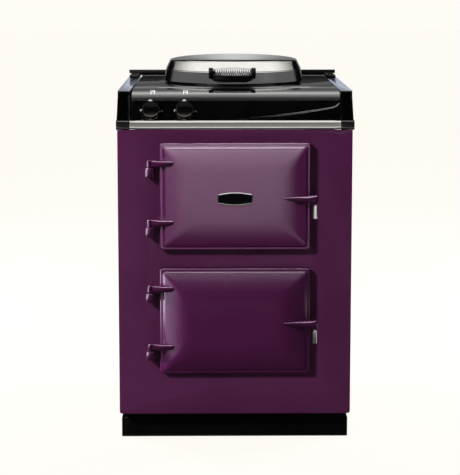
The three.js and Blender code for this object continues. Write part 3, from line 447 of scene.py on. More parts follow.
# %% Steel, chrome and zinc
def polished(name, slot, colour, stretch, gloss):
    """Metal with polishing lines. The lines run along the axis whose stretch is smallest."""
    metal = Finish(name, slot, Metallic=1.0)
    lines = metal.noise(1.0, 3, stretch)
    smudge = metal.band(metal.noise(18, 3), 0.35, 0.75)
    metal.set(Base_Color=metal.blend(0.2 * lines, rgb(colour), rgb("8E8D8B")),
              Roughness=gloss + 0.1 * lines + 0.05 * smudge)
    metal.relief(lines, 0.02 * MM)
    return metal


rail_steel = polished("belt_polished_steel", "polished_steel", "F3F2EF", (12, 1600, 1600), 0.1)
plain_steel = polished("polished_steel", "polished_steel", "ECEBE8", (300, 300, 40), 0.14)
chrome = polished("chrome_plate", "chrome", "FCFCFD", (60, 60, 200), 0.035)
dull_steel = polished("unpolished_core", "chrome", "3A3A3C", (300, 300, 40), 0.3)

zinc = Finish("galvanised_sheet", "galvanised", Metallic=1.0)
crystals = zinc.add("ShaderNodeTexVoronoi", {"feature": "F1"},
                    {"Vector": zinc.place(), "Scale": 70}, out="Color")
split = zinc.add("ShaderNodeSeparateColor", None, {0: crystals})
zinc.set(Base_Color=zinc.blend(split, rgb("8D9194"), rgb("B4B8BB")), Roughness=0.32 + 0.2 * split)
zinc.relief(zinc.noise(400, 1), 0.03 * MM)
print("metals made")

# %% [markdown]
# ## Raw iron
# The ovens and the hotplate are bare cast iron. The sand mould leaves a grainy skin, and heat leaves it dark
# with faint brown patches. The hotplate's top is ground flat on a turntable, so its marks are circles.

# %% Cast and ground iron
cast_iron = Finish("cast_iron", "raw_iron", Metallic=0.75)
heat = cast_iron.band(cast_iron.noise(9, 4), 0.45, 0.7)
cast_iron.set(Base_Color=cast_iron.blend(heat, rgb("3F3F41"), rgb("4A4038")),
              Roughness=0.55 + 0.2 * cast_iron.noise(120, 3))
cast_iron.relief(cast_iron.noise(700, 3), 0.25 * MM)

HOTPLATE_Y = sum(corner.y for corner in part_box("hotplate")) / 2
GROOVES_PER_METRE = 5200
ground_iron = Finish("ground_iron", "raw_iron", Metallic=0.9)
middle = ground_iron.add("ShaderNodeVectorMath", {"operation": "DISTANCE"},
                         {0: ground_iron.place((1, 1, 0)), 1: (0, HOTPLATE_Y, 0)}, out="Value")
grooves = ground_iron.maths("SINE", middle * GROOVES_PER_METRE)
patch = ground_iron.noise(26, 4)
ground_iron.set(Base_Color=ground_iron.blend(patch, rgb("565658"), rgb("77777A")),
                Roughness=0.3 + 0.06 * grooves + 0.14 * patch)
ground_iron.relief(0.5 + 0.5 * grooves, 0.03 * MM)
print("hotplate centre y", round(HOTPLATE_Y, 3))

# %% [markdown]
# ## Fibre and rope
# Mineral wool is a mat of fine curled fibres. The door seal is a glass rope whose strands cross at a slant.
# Two sets of slanting waves, taken together, give the small diamonds of a braid.

# %% Wool and braid
wool = Finish("mineral_wool", "pale_fibre", Roughness=0.95)
strands = wool.noise(260, 6, (1, 0.35, 1))
wool.set(Base_Color=wool.blend(strands, rgb("C9C3AE"), rgb("EFEBDD")))
wool.relief(strands, 1.2 * MM)

braid = Finish("braided_rope", "rope", Roughness=0.85)
one_way, other_way = [braid.add("ShaderNodeTexWave", {"bands_direction": "DIAGONAL"},
                                {"Vector": braid.place(stretch), "Scale": 110, "Distortion": 0.6}, out="Fac")
                      for stretch in ((1, 1, 1), (-1, 1, 1))]
crossing = 0.5 * one_way + 0.5 * other_way
braid.set(Base_Color=braid.blend(crossing, rgb("6B685F"), rgb("B5B1A5")))
braid.relief(crossing, 0.8 * MM)
print("soft finishes made")

# %% [markdown]
# ## Dressing the solids that are already right
# Many CAD pieces need only a finish and softer edges, because no real edge is perfectly sharp and a small
# round catches the light. Modifiers do that without touching the mesh: corners are welded and shaded smooth,
# and every sharp edge gets a narrow round.

# %% Softened edges
JOIN, SHARP = 0.02 * MM, math.radians(32)


def smoothing_group():
    """A node group that joins loose corners and shades every face smooth."""
    group = bpy.data.node_groups.new("join_and_smooth", "GeometryNodeTree")
    group.interface.new_socket("Geometry", in_out="INPUT", socket_type="NodeSocketGeometry")
    group.interface.new_socket("Geometry", in_out="OUTPUT", socket_type="NodeSocketGeometry")
    board = Board(group)
    joined = board.add("GeometryNodeMergeByDistance", None,
                       {"Geometry": board.add("NodeGroupInput"), "Distance": JOIN})
    smooth = board.add("GeometryNodeSetShadeSmooth", None, {"Geometry": joined, "Shade Smooth": True})
    board.plug(group.nodes.new("NodeGroupOutput").inputs[0], smooth)
    return group


JOIN_AND_SMOOTH = smoothing_group()


def dress(names, finish, width=0.8):
    """Gives CAD nodes a finish, and rounds their sharp edges by a width in millimetres."""
    for name in names:
        obj = NODES[name]
        if not obj.material_slots:
            obj.data.materials.append(None)
        for slot in obj.material_slots:
            slot.material = finish.material
        obj.modifiers.new("join", "NODES").node_group = JOIN_AND_SMOOTH
        edge = obj.modifiers.new("round_edges", "BEVEL")
        edge.width, edge.segments, edge.angle_limit = width * MM, 2, SHARP
        edge.harden_normals = True


DOORS, LEVELS = ("upper", "lower"), ("top", "bottom")


def each_door(piece):
    return [f"{door}_{piece}" for door in DOORS]


def each_hinge(piece):
    return [f"{door}_{piece}_{level}" for door in DOORS for level in LEVELS]


dress(["front_panel", "side_panel_left", "side_panel_right"], purple_enamel)
dress(each_hinge("hinge_bracket"), purple_enamel, 1.6)
dress(["side_trim_left", "side_trim_right", "top_plate"], black_enamel, 1.2)
dress(["base_frame", "plinth_cover", "rear_upstand"], black_trim, 1.2)
dress(["rail_end_left", "rail_end_right"], gloss_black, 1.6)
dress(["lid_hinge_arm", "lid_hinge_bracket_left", "lid_hinge_bracket_right"], black_trim, 1.2)
dress(["back_panel", *[f"levelling_foot_{i}" for i in (1, 2, 3, 4)]], zinc, 0.5)
dress(each_door("oven_shelf"), chrome, 0.6)
dress(["cable_gland"], black_plastic)
dress([*each_hinge("hinge_pin"), "lid_hinge_pin"], plain_steel)
dress([*each_door("door_liner"), "lid_liner"], plain_steel, 0.7)
dress([*each_door("oven"), *each_door("oven_element"), "hotplate_element"], cast_iron)
dress(["hotplate"], ground_iron, 0.5)
dress(["lid_handle_rod"], dull_steel)
dress(["insulation", "lid_insulation"], wool, 3)
dress(each_door("door_seal"), braid, 2.2)
dress(["left_switch", "right_switch", "terminal_box"], black_plastic, 1.5)
print("dressed", sum(bool(o.modifiers) for o in NODES.values()), "of", len(NODES), "CAD pieces")

# %% [markdown]
# ## Building finer pieces
# Some curved pieces deserve more faces than the solids have: doors, badge, fascia, knobs, rail, lid and the
# lid's handle. Each is a stack of rings of points joined by quads, which is how a loft or a lathe works.
# The new piece stands exactly where its solid stands, replaces it, and rides on the same body.

# %% Lofts and lathes
STAND_IN = {}
WELD = 0.005 * MM


def add_piece(name, stands_for, rings, finish, closed=True, replace=True, sharp=38):
    """Joins rings of equal length into a skin with filled ends, and puts it in place of a CAD node. Edges
    bent by more than sharp, in degrees, stay crisp."""
    obj = bpy.data.objects.new(name, bpy.data.meshes.new(name))
    scene.collection.objects.link(obj)
    shape = bmesh.new()
    rows = [[shape.verts.new(point) for point in ring] for ring in rings]
    for row, after in zip(rows, rows[1:]):
        for i in range(len(row)):
            j = (i + 1) % len(row)
            shape.faces.new((row[i], row[j], after[j], after[i]))
    if closed:
        shape.faces.new(rows[0])
        shape.faces.new(reversed(rows[-1]))
    bmesh.ops.remove_doubles(shape, verts=shape.verts, dist=WELD)
    bmesh.ops.recalc_face_normals(shape, faces=shape.faces)
    for face in shape.faces:
        face.smooth = True
    for edge in shape.edges:
        edge.smooth = len(edge.link_faces) == 2 and edge.calc_face_angle(0) < math.radians(sharp)
    shape.to_mesh(obj.data)
    shape.free()
    obj.data.materials.append(finish.material)
    STAND_IN[name] = stands_for
    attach(obj, BODY_OF[stands_for])
    if replace:
        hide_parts(stands_for)
    return obj


def arc(centre, radius, start, end, steps):
    """Points of an arc, with angles in degrees."""
    turns = [math.radians(start + (end - start) * i / steps) for i in range(steps + 1)]
    return [(centre[0] + radius * math.cos(t), centre[1] + radius * math.sin(t)) for t in turns]


def whole_turn(steps, offset=0):
    """Angles of equal steps round a circle, in radians."""
    return [2 * math.pi * (i + offset) / steps for i in range(steps)]


def superellipse(turn, squareness):
    """A point between a circle, squareness 2, and a box, in which both go from -1 to 1."""
    return [math.copysign(abs(v) ** (2 / squareness), v) for v in (math.cos(turn), math.sin(turn))]


def curve_points(start, control, end, steps):
    """Points of a quadratic curve, without its end."""
    shares = [i / steps for i in range(steps)]
    return [tuple((1 - s) ** 2 * p + 2 * s * (1 - s) * q + s * s * r for p, q, r in zip(start, control, end))
            for s in shares]


AXIS_RADIUS = 0.001


def lathe(profile, facets, matrix):
    """Rings of a solid of revolution about Z, from (radius, height) pairs in millimetres."""
    rows = [(max(radius, AXIS_RADIUS), height) for radius, height in profile]
    return [[matrix @ (Vector((radius * math.cos(t), radius * math.sin(t), height)) * MM)
             for t in whole_turn(facets)] for radius, height in rows]


def ring_on(matrix, outline, height):
    """An outline of (x, y) in millimetres, lifted to a height on a placed plane."""
    return [matrix @ (Vector((x, y, height)) * MM) for x, y in outline]


def centre_of(node):
    low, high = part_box(node)
    return (low + high) / 2


PANEL_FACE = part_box("front_panel")[0].y
DOOR_MIDDLE = {door: centre_of(f"{door}_door_liner").z for door in DOORS}


def on_door(door, x, depth, z):
    """A place on a door, from its middle across and up, and in front of the panel, in millimetres."""
    return Vector((x * MM, PANEL_FACE - depth * MM, DOOR_MIDDLE[door] + z * MM))


print("loft and lathe ready")

# %% [markdown]
# ## The doors
# Each door is an iron casting shaped like a pillow: a flat rim, a small step, then long slopes that meet in
# soft mitred creases and fade into a broad field. Rings of rounded rectangles follow that form exactly. The
# corner radius grows from ring to ring, which is what softens the creases towards the middle.

# %% Door castings
DOOR_HALF_WIDTH, DOOR_HALF_HEIGHT, DOOR_CORNER, BACK_DEPTH = 193, 138, 8, 8
BEAD, RIM_INSET, RIM_DEPTH = 5.2, 8, 24.5
SLOPE_START, SLOPE_REACH, SLOPE_STEPS = 13, 85, 20
STEP_DEPTH, CROWN, CREASE_GROWTH = 4.7, 22.9, 26
BACK_ROWS = [(15, BACK_DEPTH, 6), (0.8, BACK_DEPTH, DOOR_CORNER), (0, BACK_DEPTH + 0.8, DOOR_CORNER)]
STEP_CURVE = [(-1, 0.1), (0, 0.5), (1, 1.3), (2, 2.3), (3.2, 3.4)]
CORNER_STEPS = 10


def rounded_rectangle(half_a, half_b, radius):
    a, b = half_a - radius, half_b - radius
    corners = [(a, b, 0), (-a, b, 90), (-a, -b, 180), (a, -b, 270)]
    return [point for x, y, turn in corners for point in arc((x, y), radius, turn, turn + 90, CORNER_STEPS)]


def door_profile():
    """(inset, depth in front of the panel, corner radius) of each ring, from the back edge to the middle."""
    rows = BACK_ROWS + [(x, y, DOOR_CORNER) for x, y in arc((BEAD, RIM_DEPTH - BEAD), BEAD, 180, 84, 8)]
    rows += [(RIM_INSET + x, RIM_DEPTH + rise, DOOR_CORNER) for x, rise in STEP_CURVE]
    for step in range(SLOPE_STEPS + 1):
        share = step / SLOPE_STEPS
        depth = RIM_DEPTH + STEP_DEPTH + (CROWN - STEP_DEPTH) * (1 - (1 - share) ** 2)
        inset = SLOPE_START + (SLOPE_REACH - SLOPE_START) * share
        rows.append((inset, depth, DOOR_CORNER + CREASE_GROWTH * share ** 1.5))
    return rows


def door_ring(door, inset, depth, radius):
    half_width, half_height = DOOR_HALF_WIDTH - inset, DOOR_HALF_HEIGHT - inset
    outline = rounded_rectangle(half_width, half_height, min(radius, half_height - 1))
    return [on_door(door, x, depth, z) for x, z in outline]


for door in DOORS:
    rings = [door_ring(door, *row) for row in door_profile()]
    casting = add_piece(f"{door}_door_casting", f"{door}_door_shell", rings, door_enamel_painted_shade, sharp=60)
    print(casting.name, len(casting.data.polygons), "faces")

# %% [markdown]
# ## Arms and grips
# Two arms on the left of each door reach over the hinge pins, and one on the right carries the grip. They are
# cast with the door: each starts as a thin ridge in the slope and swells until it leaves the edge. A loft of
# rounded sections along X gives that swelling and the soft edges of a casting.

# %% Cast arms
CASTING_SQUARENESS, SECTION_SIDES = 2.7, 32


def rounded_section(low, high, back, front):
    """A rounded box seen along X, as (depth, height) points in millimetres."""
    bulges = [superellipse(turn, CASTING_SQUARENESS) for turn in whole_turn(SECTION_SIDES, 0.5)]
    return [((back + front) / 2 + (back - front) / 2 * deep, (low + high) / 2 + (high - low) / 2 * tall)
            for deep, tall in bulges]


def lofted_arm(name, door, stations):
    """An arm from stations of (x, bottom, top, back depth, front depth) about the door's centre."""
    rings = [[on_door(door, x, depth, z) for depth, z in rounded_section(*section)]
             for x, *section in stations]
    add_piece(name, f"{door}_door_shell", rings, door_enamel_painted_shade, sharp=50)


PIN_X, PIN_DEPTH, PIN_BORE = -217, 30, 4.3
ARM_RADIUS, ARM_HALF, ARM_REACH, ARM_TIP, ARM_START, ARM_STEPS = 7.5, 10, 61, 15, 5, 16
ARM_SWELL, SWELL_SHARE, TAPER_SHARE, ARM_BURIED, ROOT_X = 4.2, 0.62, 0.2, 6, -200
BLUNT_SHARE, BLUNT_LENGTH, BLUNT_HALF, BLUNT_FALL = 0.82, 0.19, 0.45, 3
ARM_LEVELS = {"top": 85, "bottom": -67}
BARREL_EDGE, BARREL_FACETS = 2.4, 32


def arm_station(share, centre):
    """One section of a hinge arm, from its barrel at 0 to its blunt tip on the door's slope at 1."""
    x = PIN_X + ARM_START + (ARM_REACH - ARM_START) * share
    blunt = math.sqrt(max(0, 1 - max(0, (share - BLUNT_SHARE) / BLUNT_LENGTH) ** 2))
    taper = (ARM_HALF - ARM_TIP / 2) * max(0, share - TAPER_SHARE)
    half = (ARM_HALF - taper) * (BLUNT_HALF + (1 - BLUNT_HALF) * blunt)
    swell = ARM_SWELL * math.sin(math.pi / 2 * min(SWELL_SHARE, share) / SWELL_SHARE)
    front = PIN_DEPTH + ARM_RADIUS + swell - BLUNT_FALL * (1 - blunt)
    back = PIN_DEPTH - ARM_RADIUS if x < ROOT_X else BACK_DEPTH + ARM_BURIED
    return x, centre + taper - half, centre + taper + half, back, front


def hinge_arm(door, level):
    centre = ARM_LEVELS[level]
    stations = [arm_station(step / ARM_STEPS, centre) for step in range(ARM_STEPS + 1)]
    lofted_arm(f"{door}_hinge_arm_{level}", door, stations)
    inner, low, high = ARM_RADIUS - BARREL_EDGE, BARREL_EDGE - ARM_HALF, ARM_HALF - BARREL_EDGE
    profile = [(PIN_BORE, -ARM_HALF), *arc((inner, low), BARREL_EDGE, -90, 0, 5),
               *arc((inner, high), BARREL_EDGE, 0, 90, 5), (PIN_BORE, ARM_HALF), (PIN_BORE, -ARM_HALF)]
    spot = centre_of(f"{door}_hinge_pin_{level}")
    spot.z = on_door(door, 0, 0, centre).z
    rings = lathe(profile, BARREL_FACETS, Matrix.Translation(spot))
    add_piece(f"{door}_hinge_barrel_{level}", f"{door}_door_shell", rings, door_enamel_painted_shade, closed=False)


HANDLE_ROOT, HANDLE_END, HANDLE_DEPTH, HANDLE_RADIUS, HANDLE_STEPS = 125, 203, 48, 8, 14
ROOT_DROP, HANDLE_DROP, HANDLE_HALF, HANDLE_TIP = 2, 5, 12, 2.5
ROOT_THICK, BELLY_START, BELLY_LENGTH, BELLY_DEPTH, NECK_X = 6, 160, 43, 18, 195


def handle_arm(door):
    """The arm that carries the grip: a thin ridge in the slope that thickens into a rounded end."""
    stations = []
    for step in range(HANDLE_STEPS + 1):
        share = step / HANDLE_STEPS
        x = HANDLE_ROOT + (HANDLE_END - HANDLE_ROOT) * share
        half = HANDLE_TIP + (HANDLE_HALF - HANDLE_TIP) * share
        middle = -ROOT_DROP - (HANDLE_DROP - ROOT_DROP) * share
        front = HANDLE_DEPTH + 1 + (HANDLE_RADIUS - 1) * share
        belly = math.sin(math.pi * min(1, max(0, x - BELLY_START) / BELLY_LENGTH))
        back = HANDLE_DEPTH - ROOT_THICK - BELLY_DEPTH * belly
        back = min(back, HANDLE_DEPTH - HANDLE_RADIUS) if x > NECK_X else back
        stations.append((x, middle - half, middle + half, back, front))
    for turn in (20, 40, 58, 74, 86):
        reach, swell = [HANDLE_RADIUS * f(math.radians(turn)) for f in (math.sin, math.cos)]
        stations.append((HANDLE_END + reach, -HANDLE_DROP - HANDLE_HALF, HANDLE_HALF - HANDLE_DROP,
                         HANDLE_DEPTH - swell, HANDLE_DEPTH + swell))
    lofted_arm(f"{door}_handle_arm", door, stations)


GRIP_EDGE, GRIP_FACETS, NECK_RADIUS, NECK_LENGTH, NECK_EDGE = 2.5, 40, 4, 1.5, 1.2


def grip(door):
    """A turned steel peg with a rounded foot, hanging from the arm by a short neck."""
    low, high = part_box(f"{door}_door_grip")
    length, radius = (high.z - low.z) / MM, (high.x - low.x) / 2 / MM
    shoulder = length - NECK_LENGTH
    profile = [(0, 0), *arc((radius - GRIP_EDGE, GRIP_EDGE), GRIP_EDGE, -90, 0, 6),
               (radius, shoulder - NECK_EDGE), (radius - NECK_EDGE, shoulder),
               (NECK_RADIUS + NECK_EDGE / 2, shoulder), (NECK_RADIUS, shoulder + NECK_EDGE / 2),
               (NECK_RADIUS, length), (0, length)]
    foot = Matrix.Translation(((low.x + high.x) / 2, (low.y + high.y) / 2, low.z))
    add_piece(f"{door}_turned_grip", f"{door}_door_grip", lathe(profile, GRIP_FACETS, foot), plain_steel)


for door in DOORS:
    for level in LEVELS:
        hinge_arm(door, level)
    handle_arm(door)
    grip(door)
print("arms and grips fitted")

# %% [markdown]
# ## The badge
# The badge is a bare plate: a pressed chrome frame with a bowed outline round a sunken black field. The
# outline is drawn once with curves and drawn smaller for each step of the frame.

# %% Bare badge
BADGE_HALF_WIDTH, BADGE_HALF_HEIGHT, BADGE_BOW = 45, 17.5, 4.9
BADGE_LOW, BADGE_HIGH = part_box("door_badge")
FRAME_ROWS = [(0.5, 0), (0, 0.4), (0, 1.8), (0.5, 2.4), (1.1, 2.5), (1.7, 2.3), (2.1, 1.6), (2.1, 1.2)]
FIELD_ROWS = [(2.1, 1.1), (2.1, 1.4), (5, 1.55), (9, 1.6)]


def badge_outline(inset):
    a, b = BADGE_HALF_WIDTH - inset, BADGE_HALF_HEIGHT - inset
    right_end, right_top = (a, b * 0.55), (a * 0.8, b - BADGE_BOW)
    left_top, left_end = (-a * 0.8, b - BADGE_BOW), (-a, b * 0.55)
    half = [*curve_points(right_end, (a * 0.96, b - BADGE_BOW), right_top, 5),
            *curve_points(right_top, (0, b + BADGE_BOW / 2), left_top, 18),
            *curve_points(left_top, (-a * 0.96, b - BADGE_BOW), left_end, 5), left_end]
    return half + [(-x, -z) for x, z in half]


def badge_rings(rows):
    """Rings of the badge from (inset, height above the door) rows."""
    middle = (BADGE_LOW + BADGE_HIGH) / 2
    return [[Vector((x * MM, BADGE_HIGH.y - depth * MM, middle.z + z * MM)) for x, z in badge_outline(inset)]
            for inset, depth in rows]


add_piece("badge_frame", "door_badge", badge_rings(FRAME_ROWS), chrome, sharp=60)
add_piece("badge_field", "door_badge", badge_rings(FIELD_ROWS), black_enamel, replace=False, sharp=60)
print("badge fitted")

# %% [markdown]
# ## The control fascia
# One sheet of black enamelled steel slopes back from the rail and rolls over into the hob. A swoosh line is
# pressed into it: below the line the sheet sits 3 mm deeper. Columns of points follow the pressed line from
# left to right, and each column runs from the foot up over the roll, with close rows where the step turns.

# %% Fascia sheet
FASCIA_LOW, FASCIA_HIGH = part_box("fascia")
LEFT_X, FOOT_Y, FOOT_Z = [v / MM for v in FASCIA_LOW]
RIGHT_X, SEAM_Y, HOB_Z = [v / MM for v in FASCIA_HIGH]
TILT = math.radians(18)
ROLL, STEP, WALL, STEP_FADE, STEP_REACH = 25, 3, 4, 4, 2.6
BEND_Z = HOB_Z - ROLL
STEP_ROWS = [(-STEP_REACH, 1), (-1.8, 0.97), (-0.9, 0.82), (0, 0.5), (0.9, 0.18), (1.8, 0.03),
             (STEP_REACH, 0)]
RISE_START, RISE_BEND, RISE_END = (-90, FOOT_Z), (46, FOOT_Z), (240, FOOT_Z + 31)
CORNER_BEND, CORNER_END = (RIGHT_X - 0.6, FOOT_Z + 35), (RIGHT_X - 0.4, FOOT_Z + 53)


def slope_y(z, offset):
    return FOOT_Y + (z - FOOT_Z) * math.tan(TILT) + offset / math.cos(TILT)


def roll_points(offset, steps):
    top = HOB_Z - offset
    start, control, end = (slope_y(BEND_Z, offset), BEND_Z), (slope_y(top, offset), top), (SEAM_Y, top)
    return [*curve_points(start, control, end, steps), end]


def swoosh_points():
    """The pressed line as (x, z), from the left end of the sheet to its right end."""
    flat = [(LEFT_X + (RISE_START[0] - LEFT_X) * i / 6, FOOT_Z) for i in range(6)]
    rise = curve_points(RISE_START, RISE_BEND, RISE_END, 48)
    corner = curve_points(RISE_END, CORNER_BEND, CORNER_END, 14)
    return [*flat, *rise, *corner, (RIGHT_X, CORNER_END[1])]


def fascia_column(x, line_z):
    """One column of the sheet: the outer face from foot to seam, then the inner face back down."""
    recess = min(1, (line_z - FOOT_Z) / STEP_FADE) * STEP
    lower, upper = max(FOOT_Z, line_z - STEP_REACH), min(BEND_Z - 1, line_z + STEP_REACH)
    outer = [(slope_y(z, recess), z) for z in [FOOT_Z + (lower - FOOT_Z) * i / 4 for i in range(4)]]
    for up, share in STEP_ROWS:
        z = max(FOOT_Z, line_z + up)
        outer.append((slope_y(z, recess * share), z))
    outer += [(slope_y(z, 0), z) for z in [upper + (BEND_Z - upper) * i / 8 for i in range(1, 8)]]
    outer += roll_points(0, 28)
    inner = [(slope_y(FOOT_Z, STEP + WALL), FOOT_Z), *roll_points(STEP + WALL, 28)]
    return [Vector((x * MM, y * MM, z * MM)) for y, z in outer + inner[::-1]]


columns = [fascia_column(x, z) for x, z in swoosh_points()]
sheet = add_piece("fascia_sheet", "fascia", columns, black_enamel, sharp=70)
print("fascia", len(sheet.data.polygons), "faces")

# %% [markdown]
# ## The control knobs
# A knob is a glossy moulding: a deep round body with a slightly domed face on a thin skirt with four points.
# The top point carries a small silver pointer, and the left one a white tick.

# %% Knobs
SIDES = ("left", "right")
SKIRT_REACH, SKIRT_TOP, SKIRT_WAIST, SKIRT_BASE = 27, 30, 19.5, 0.5
SKIRT_ROWS = [(1, SKIRT_BASE), (0, 1.2), (0, 3.4), (0.4, 4.1), (1.3, 4.5), (6, 4.6)]
TIP_SHARE, TIP_SPREAD, MARK_SHARE = 0.985, 0.06, 0.85
POINTER_Y, POINTER_WIDE, POINTER_HOLLOW_X, POINTER_HOLLOW_Y = 25.2, 6.4, 0.36, 0.4
POINTER_TIPS = [(POINTER_WIDE, POINTER_Y), (0, 29.6), (-POINTER_WIDE, POINTER_Y), (0, 21)]
TICK = [(-25.6, 2.6), (-23.4, 2.2), (-23.4, -2.2), (-25.6, -2.6)]
KNOB_RADIUS, KNOB_LENGTH, KNOB_CROWN, KNOB_EDGE, KNOB_LEAN = 22.4, 16, 2, 1.6, 0.3
CROWN_SHARES = (0.9, 0.8, 0.65, 0.5, 0.35, 0.2, 0.08, 0)


def knob_frame(side):
    """Local X runs right, local Y runs up the fascia and local Z points out of it."""
    anchor = next(Vector(j["pos_m"]) for j in frame["joints"] if j["name"] == f"{side}_knob_turn")
    out, up = Vector((0, -math.cos(TILT), math.sin(TILT))), Vector((0, math.sin(TILT), math.cos(TILT)))
    basis = Matrix((Vector((1, 0, 0)), up, out)).transposed().to_4x4()
    return Matrix.Translation(anchor) @ basis


def pairs(tips):
    """Each tip with the one that follows it round the outline."""
    return zip(tips, tips[1:] + tips[:1])


def skirt_outline(inset):
    """Four rounded points joined by hollow sides."""
    reach, points = SKIRT_REACH - inset, []
    for (x, y), (next_x, next_y) in pairs([(reach, 0), (0, SKIRT_TOP - inset), (-reach, 0), (0, -reach)]):
        waist = Vector((x + next_x, y + next_y)).normalized() * (SKIRT_WAIST - inset)
        start = (x * TIP_SHARE - y * TIP_SPREAD, y * TIP_SHARE + x * TIP_SPREAD)
        end = (next_x * TIP_SHARE + next_y * TIP_SPREAD, next_y * TIP_SHARE - next_x * TIP_SPREAD)
        points += [*curve_points(start, waist, end, 12), end, (next_x, next_y)]
    return points


def pointer_outline():
    """A diamond with hollow sides."""
    points = []
    for (x, y), (next_x, next_y) in pairs(POINTER_TIPS):
        bend_x = x * POINTER_HOLLOW_X + next_x * POINTER_HOLLOW_X
        bend_y = POINTER_Y + (y + next_y - 2 * POINTER_Y) * POINTER_HOLLOW_Y
        points += curve_points((x, y), (bend_x, bend_y), (next_x, next_y), 6)
    return points


def raised_mark(name, node, matrix, outline, base, top, finish):
    """A small plate with a bevelled edge, standing on a knob."""
    middle_x, middle_y = (sum(v) / len(outline) for v in zip(*outline))
    smaller = [(middle_x + (x - middle_x) * MARK_SHARE, middle_y + (y - middle_y) * MARK_SHARE)
               for x, y in outline]
    levels = [(outline, base), (outline, (base + top) / 2), (smaller, top)]
    add_piece(name, node, [ring_on(matrix, *level) for level in levels], finish, replace=False, sharp=20)


def knob(side):
    matrix, node = knob_frame(side), f"{side}_knob"
    crown = [(KNOB_RADIUS * s, KNOB_LENGTH - KNOB_CROWN * s ** 2) for s in CROWN_SHARES]
    edge_centre = (KNOB_RADIUS - KNOB_LEAN - KNOB_EDGE, KNOB_LENGTH - KNOB_CROWN - KNOB_EDGE)
    profile = [(0, SKIRT_BASE), (KNOB_RADIUS - 1, SKIRT_BASE), (KNOB_RADIUS, 4.5),
               *arc(edge_centre, KNOB_EDGE, 0, 78, 6), *crown]
    add_piece(f"{side}_knob_body", node, lathe(profile, 72, matrix), black_plastic, sharp=50)
    skirt = [ring_on(matrix, skirt_outline(inset), height) for inset, height in SKIRT_ROWS]
    add_piece(f"{side}_knob_skirt", node, skirt, black_plastic, sharp=50)
    raised_mark(f"{side}_knob_pointer", node, matrix, pointer_outline(), 4.2, 5.6, silver_print)
    raised_mark(f"{side}_knob_tick", node, matrix, TICK, 4.2, 5, white_print)


for side in SIDES:
    knob(side)
print("knobs fitted")

# %% [markdown]
# ## Printed marks
# The fascia carries small white marks: two dots by each knob, and above each knob a small sign of an oven
# with its upper or lower part marked. Each mark is a very thin plate. The signs lie partly on the roll, so
# their bars bend with it and stand a little prouder than the dots.

# %% Dots and oven signs
ROLL_TRACK = roll_points(0, 400)
PRINT_LOW, PRINT_HIGH, SIGN_HIGH = 0.02, 0.12, 0.45
DOT_RADIUS, DOT_SIDES, DOTS = 1.3, 14, {"dot_low": (-21, -25), "dot_turn": (29.5, -1.5)}
SIGN_UP, SIGN_WIDE, SIGN_TALL, SIGN_LINE = 66, 4.8, 17, 1.3
SIGN_SHIFT, CHOSEN_UP = {"left": 4.5, "right": 2.5}, {"left": 5, "right": -6}

# The bars that both signs share, as (x, y, half width, half height) from the knob's axis.
SIGN_BARS = {"left": (-SIGN_WIDE, SIGN_UP, SIGN_LINE, SIGN_TALL),
             "right": (SIGN_WIDE, SIGN_UP, SIGN_LINE, SIGN_TALL),
             "top": (0, SIGN_UP + SIGN_TALL - 2, SIGN_WIDE, 2), "shelf": (0, SIGN_UP - 1, SIGN_WIDE, 1.6)}


def on_fascia(matrix, x, y, height):
    """A point on the fascia: x across and y up the sheet from a knob's axis, height out of the sheet."""
    spot = matrix @ (Vector((x, y, 0)) * MM)
    over = (spot.z / MM - BEND_Z) / math.cos(TILT)
    if over <= 0:
        return matrix @ (Vector((x, y, height)) * MM)
    travelled = 0
    for (y0, z0), (y1, z1) in zip(ROLL_TRACK, ROLL_TRACK[1:]):
        step = math.hypot(y1 - y0, z1 - z0)
        if travelled + step >= over:
            break
        travelled += step
    along = Vector((0, y1 - y0, z1 - z0)).normalized()
    out = Vector((0, -along.z, along.y))
    return Vector((spot.x, y1 * MM, z1 * MM)) + out * height * MM


def dot_rings(matrix, x, y):
    outline = [(x + DOT_RADIUS * math.cos(t), y + DOT_RADIUS * math.sin(t)) for t in whole_turn(DOT_SIDES)]
    return [ring_on(matrix, outline, height) for height in (PRINT_LOW, PRINT_HIGH)]


def bar_rings(matrix, x, y, half_x, half_y):
    """A bar in eight short lengths up the sheet, so that it can bend with the roll."""
    left, right = x - half_x, x + half_x
    corners = ((left, PRINT_LOW), (right, PRINT_LOW), (right, SIGN_HIGH), (left, SIGN_HIGH))
    return [[on_fascia(matrix, across, y + half_y * (step / 4 - 1), height) for across, height in corners]
            for step in range(9)]


for side in SIDES:
    matrix = knob_frame(side)
    marks = {mark: dot_rings(matrix, x, y) for mark, (x, y) in DOTS.items()}
    bars = {**SIGN_BARS, "oven": (0, SIGN_UP + CHOSEN_UP[side], 1.8, 2.4)}
    for bar, (x, *rest) in bars.items():
        marks[f"sign_{bar}"] = bar_rings(matrix, x + SIGN_SHIFT[side], *rest)
    for mark, rings in marks.items():
        add_piece(f"{side}_{mark}", "fascia", rings, white_print, replace=False, sharp=20)
print("marks printed")

# %% [markdown]
# ## The hand rail
# A drawn steel tube with a flattened section runs the whole width between two black end caps. Its section is
# a superellipse, which lies between a circle and a rounded box.

# %% Hand rail
RAIL_LOW, RAIL_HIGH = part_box("hand_rail")
RAIL_SQUARENESS, RAIL_SIDES, RAIL_EDGE = 2.6, 56, 0.8 * MM


def rail_ring(x, shrink):
    depth, height = (RAIL_HIGH.y - RAIL_LOW.y) / 2 - shrink, (RAIL_HIGH.z - RAIL_LOW.z) / 2 - shrink
    middle = (RAIL_LOW + RAIL_HIGH) / 2
    bulges = [superellipse(turn, RAIL_SQUARENESS) for turn in whole_turn(RAIL_SIDES)]
    return [Vector((x, middle.y + depth * deep, middle.z + height * tall)) for deep, tall in bulges]


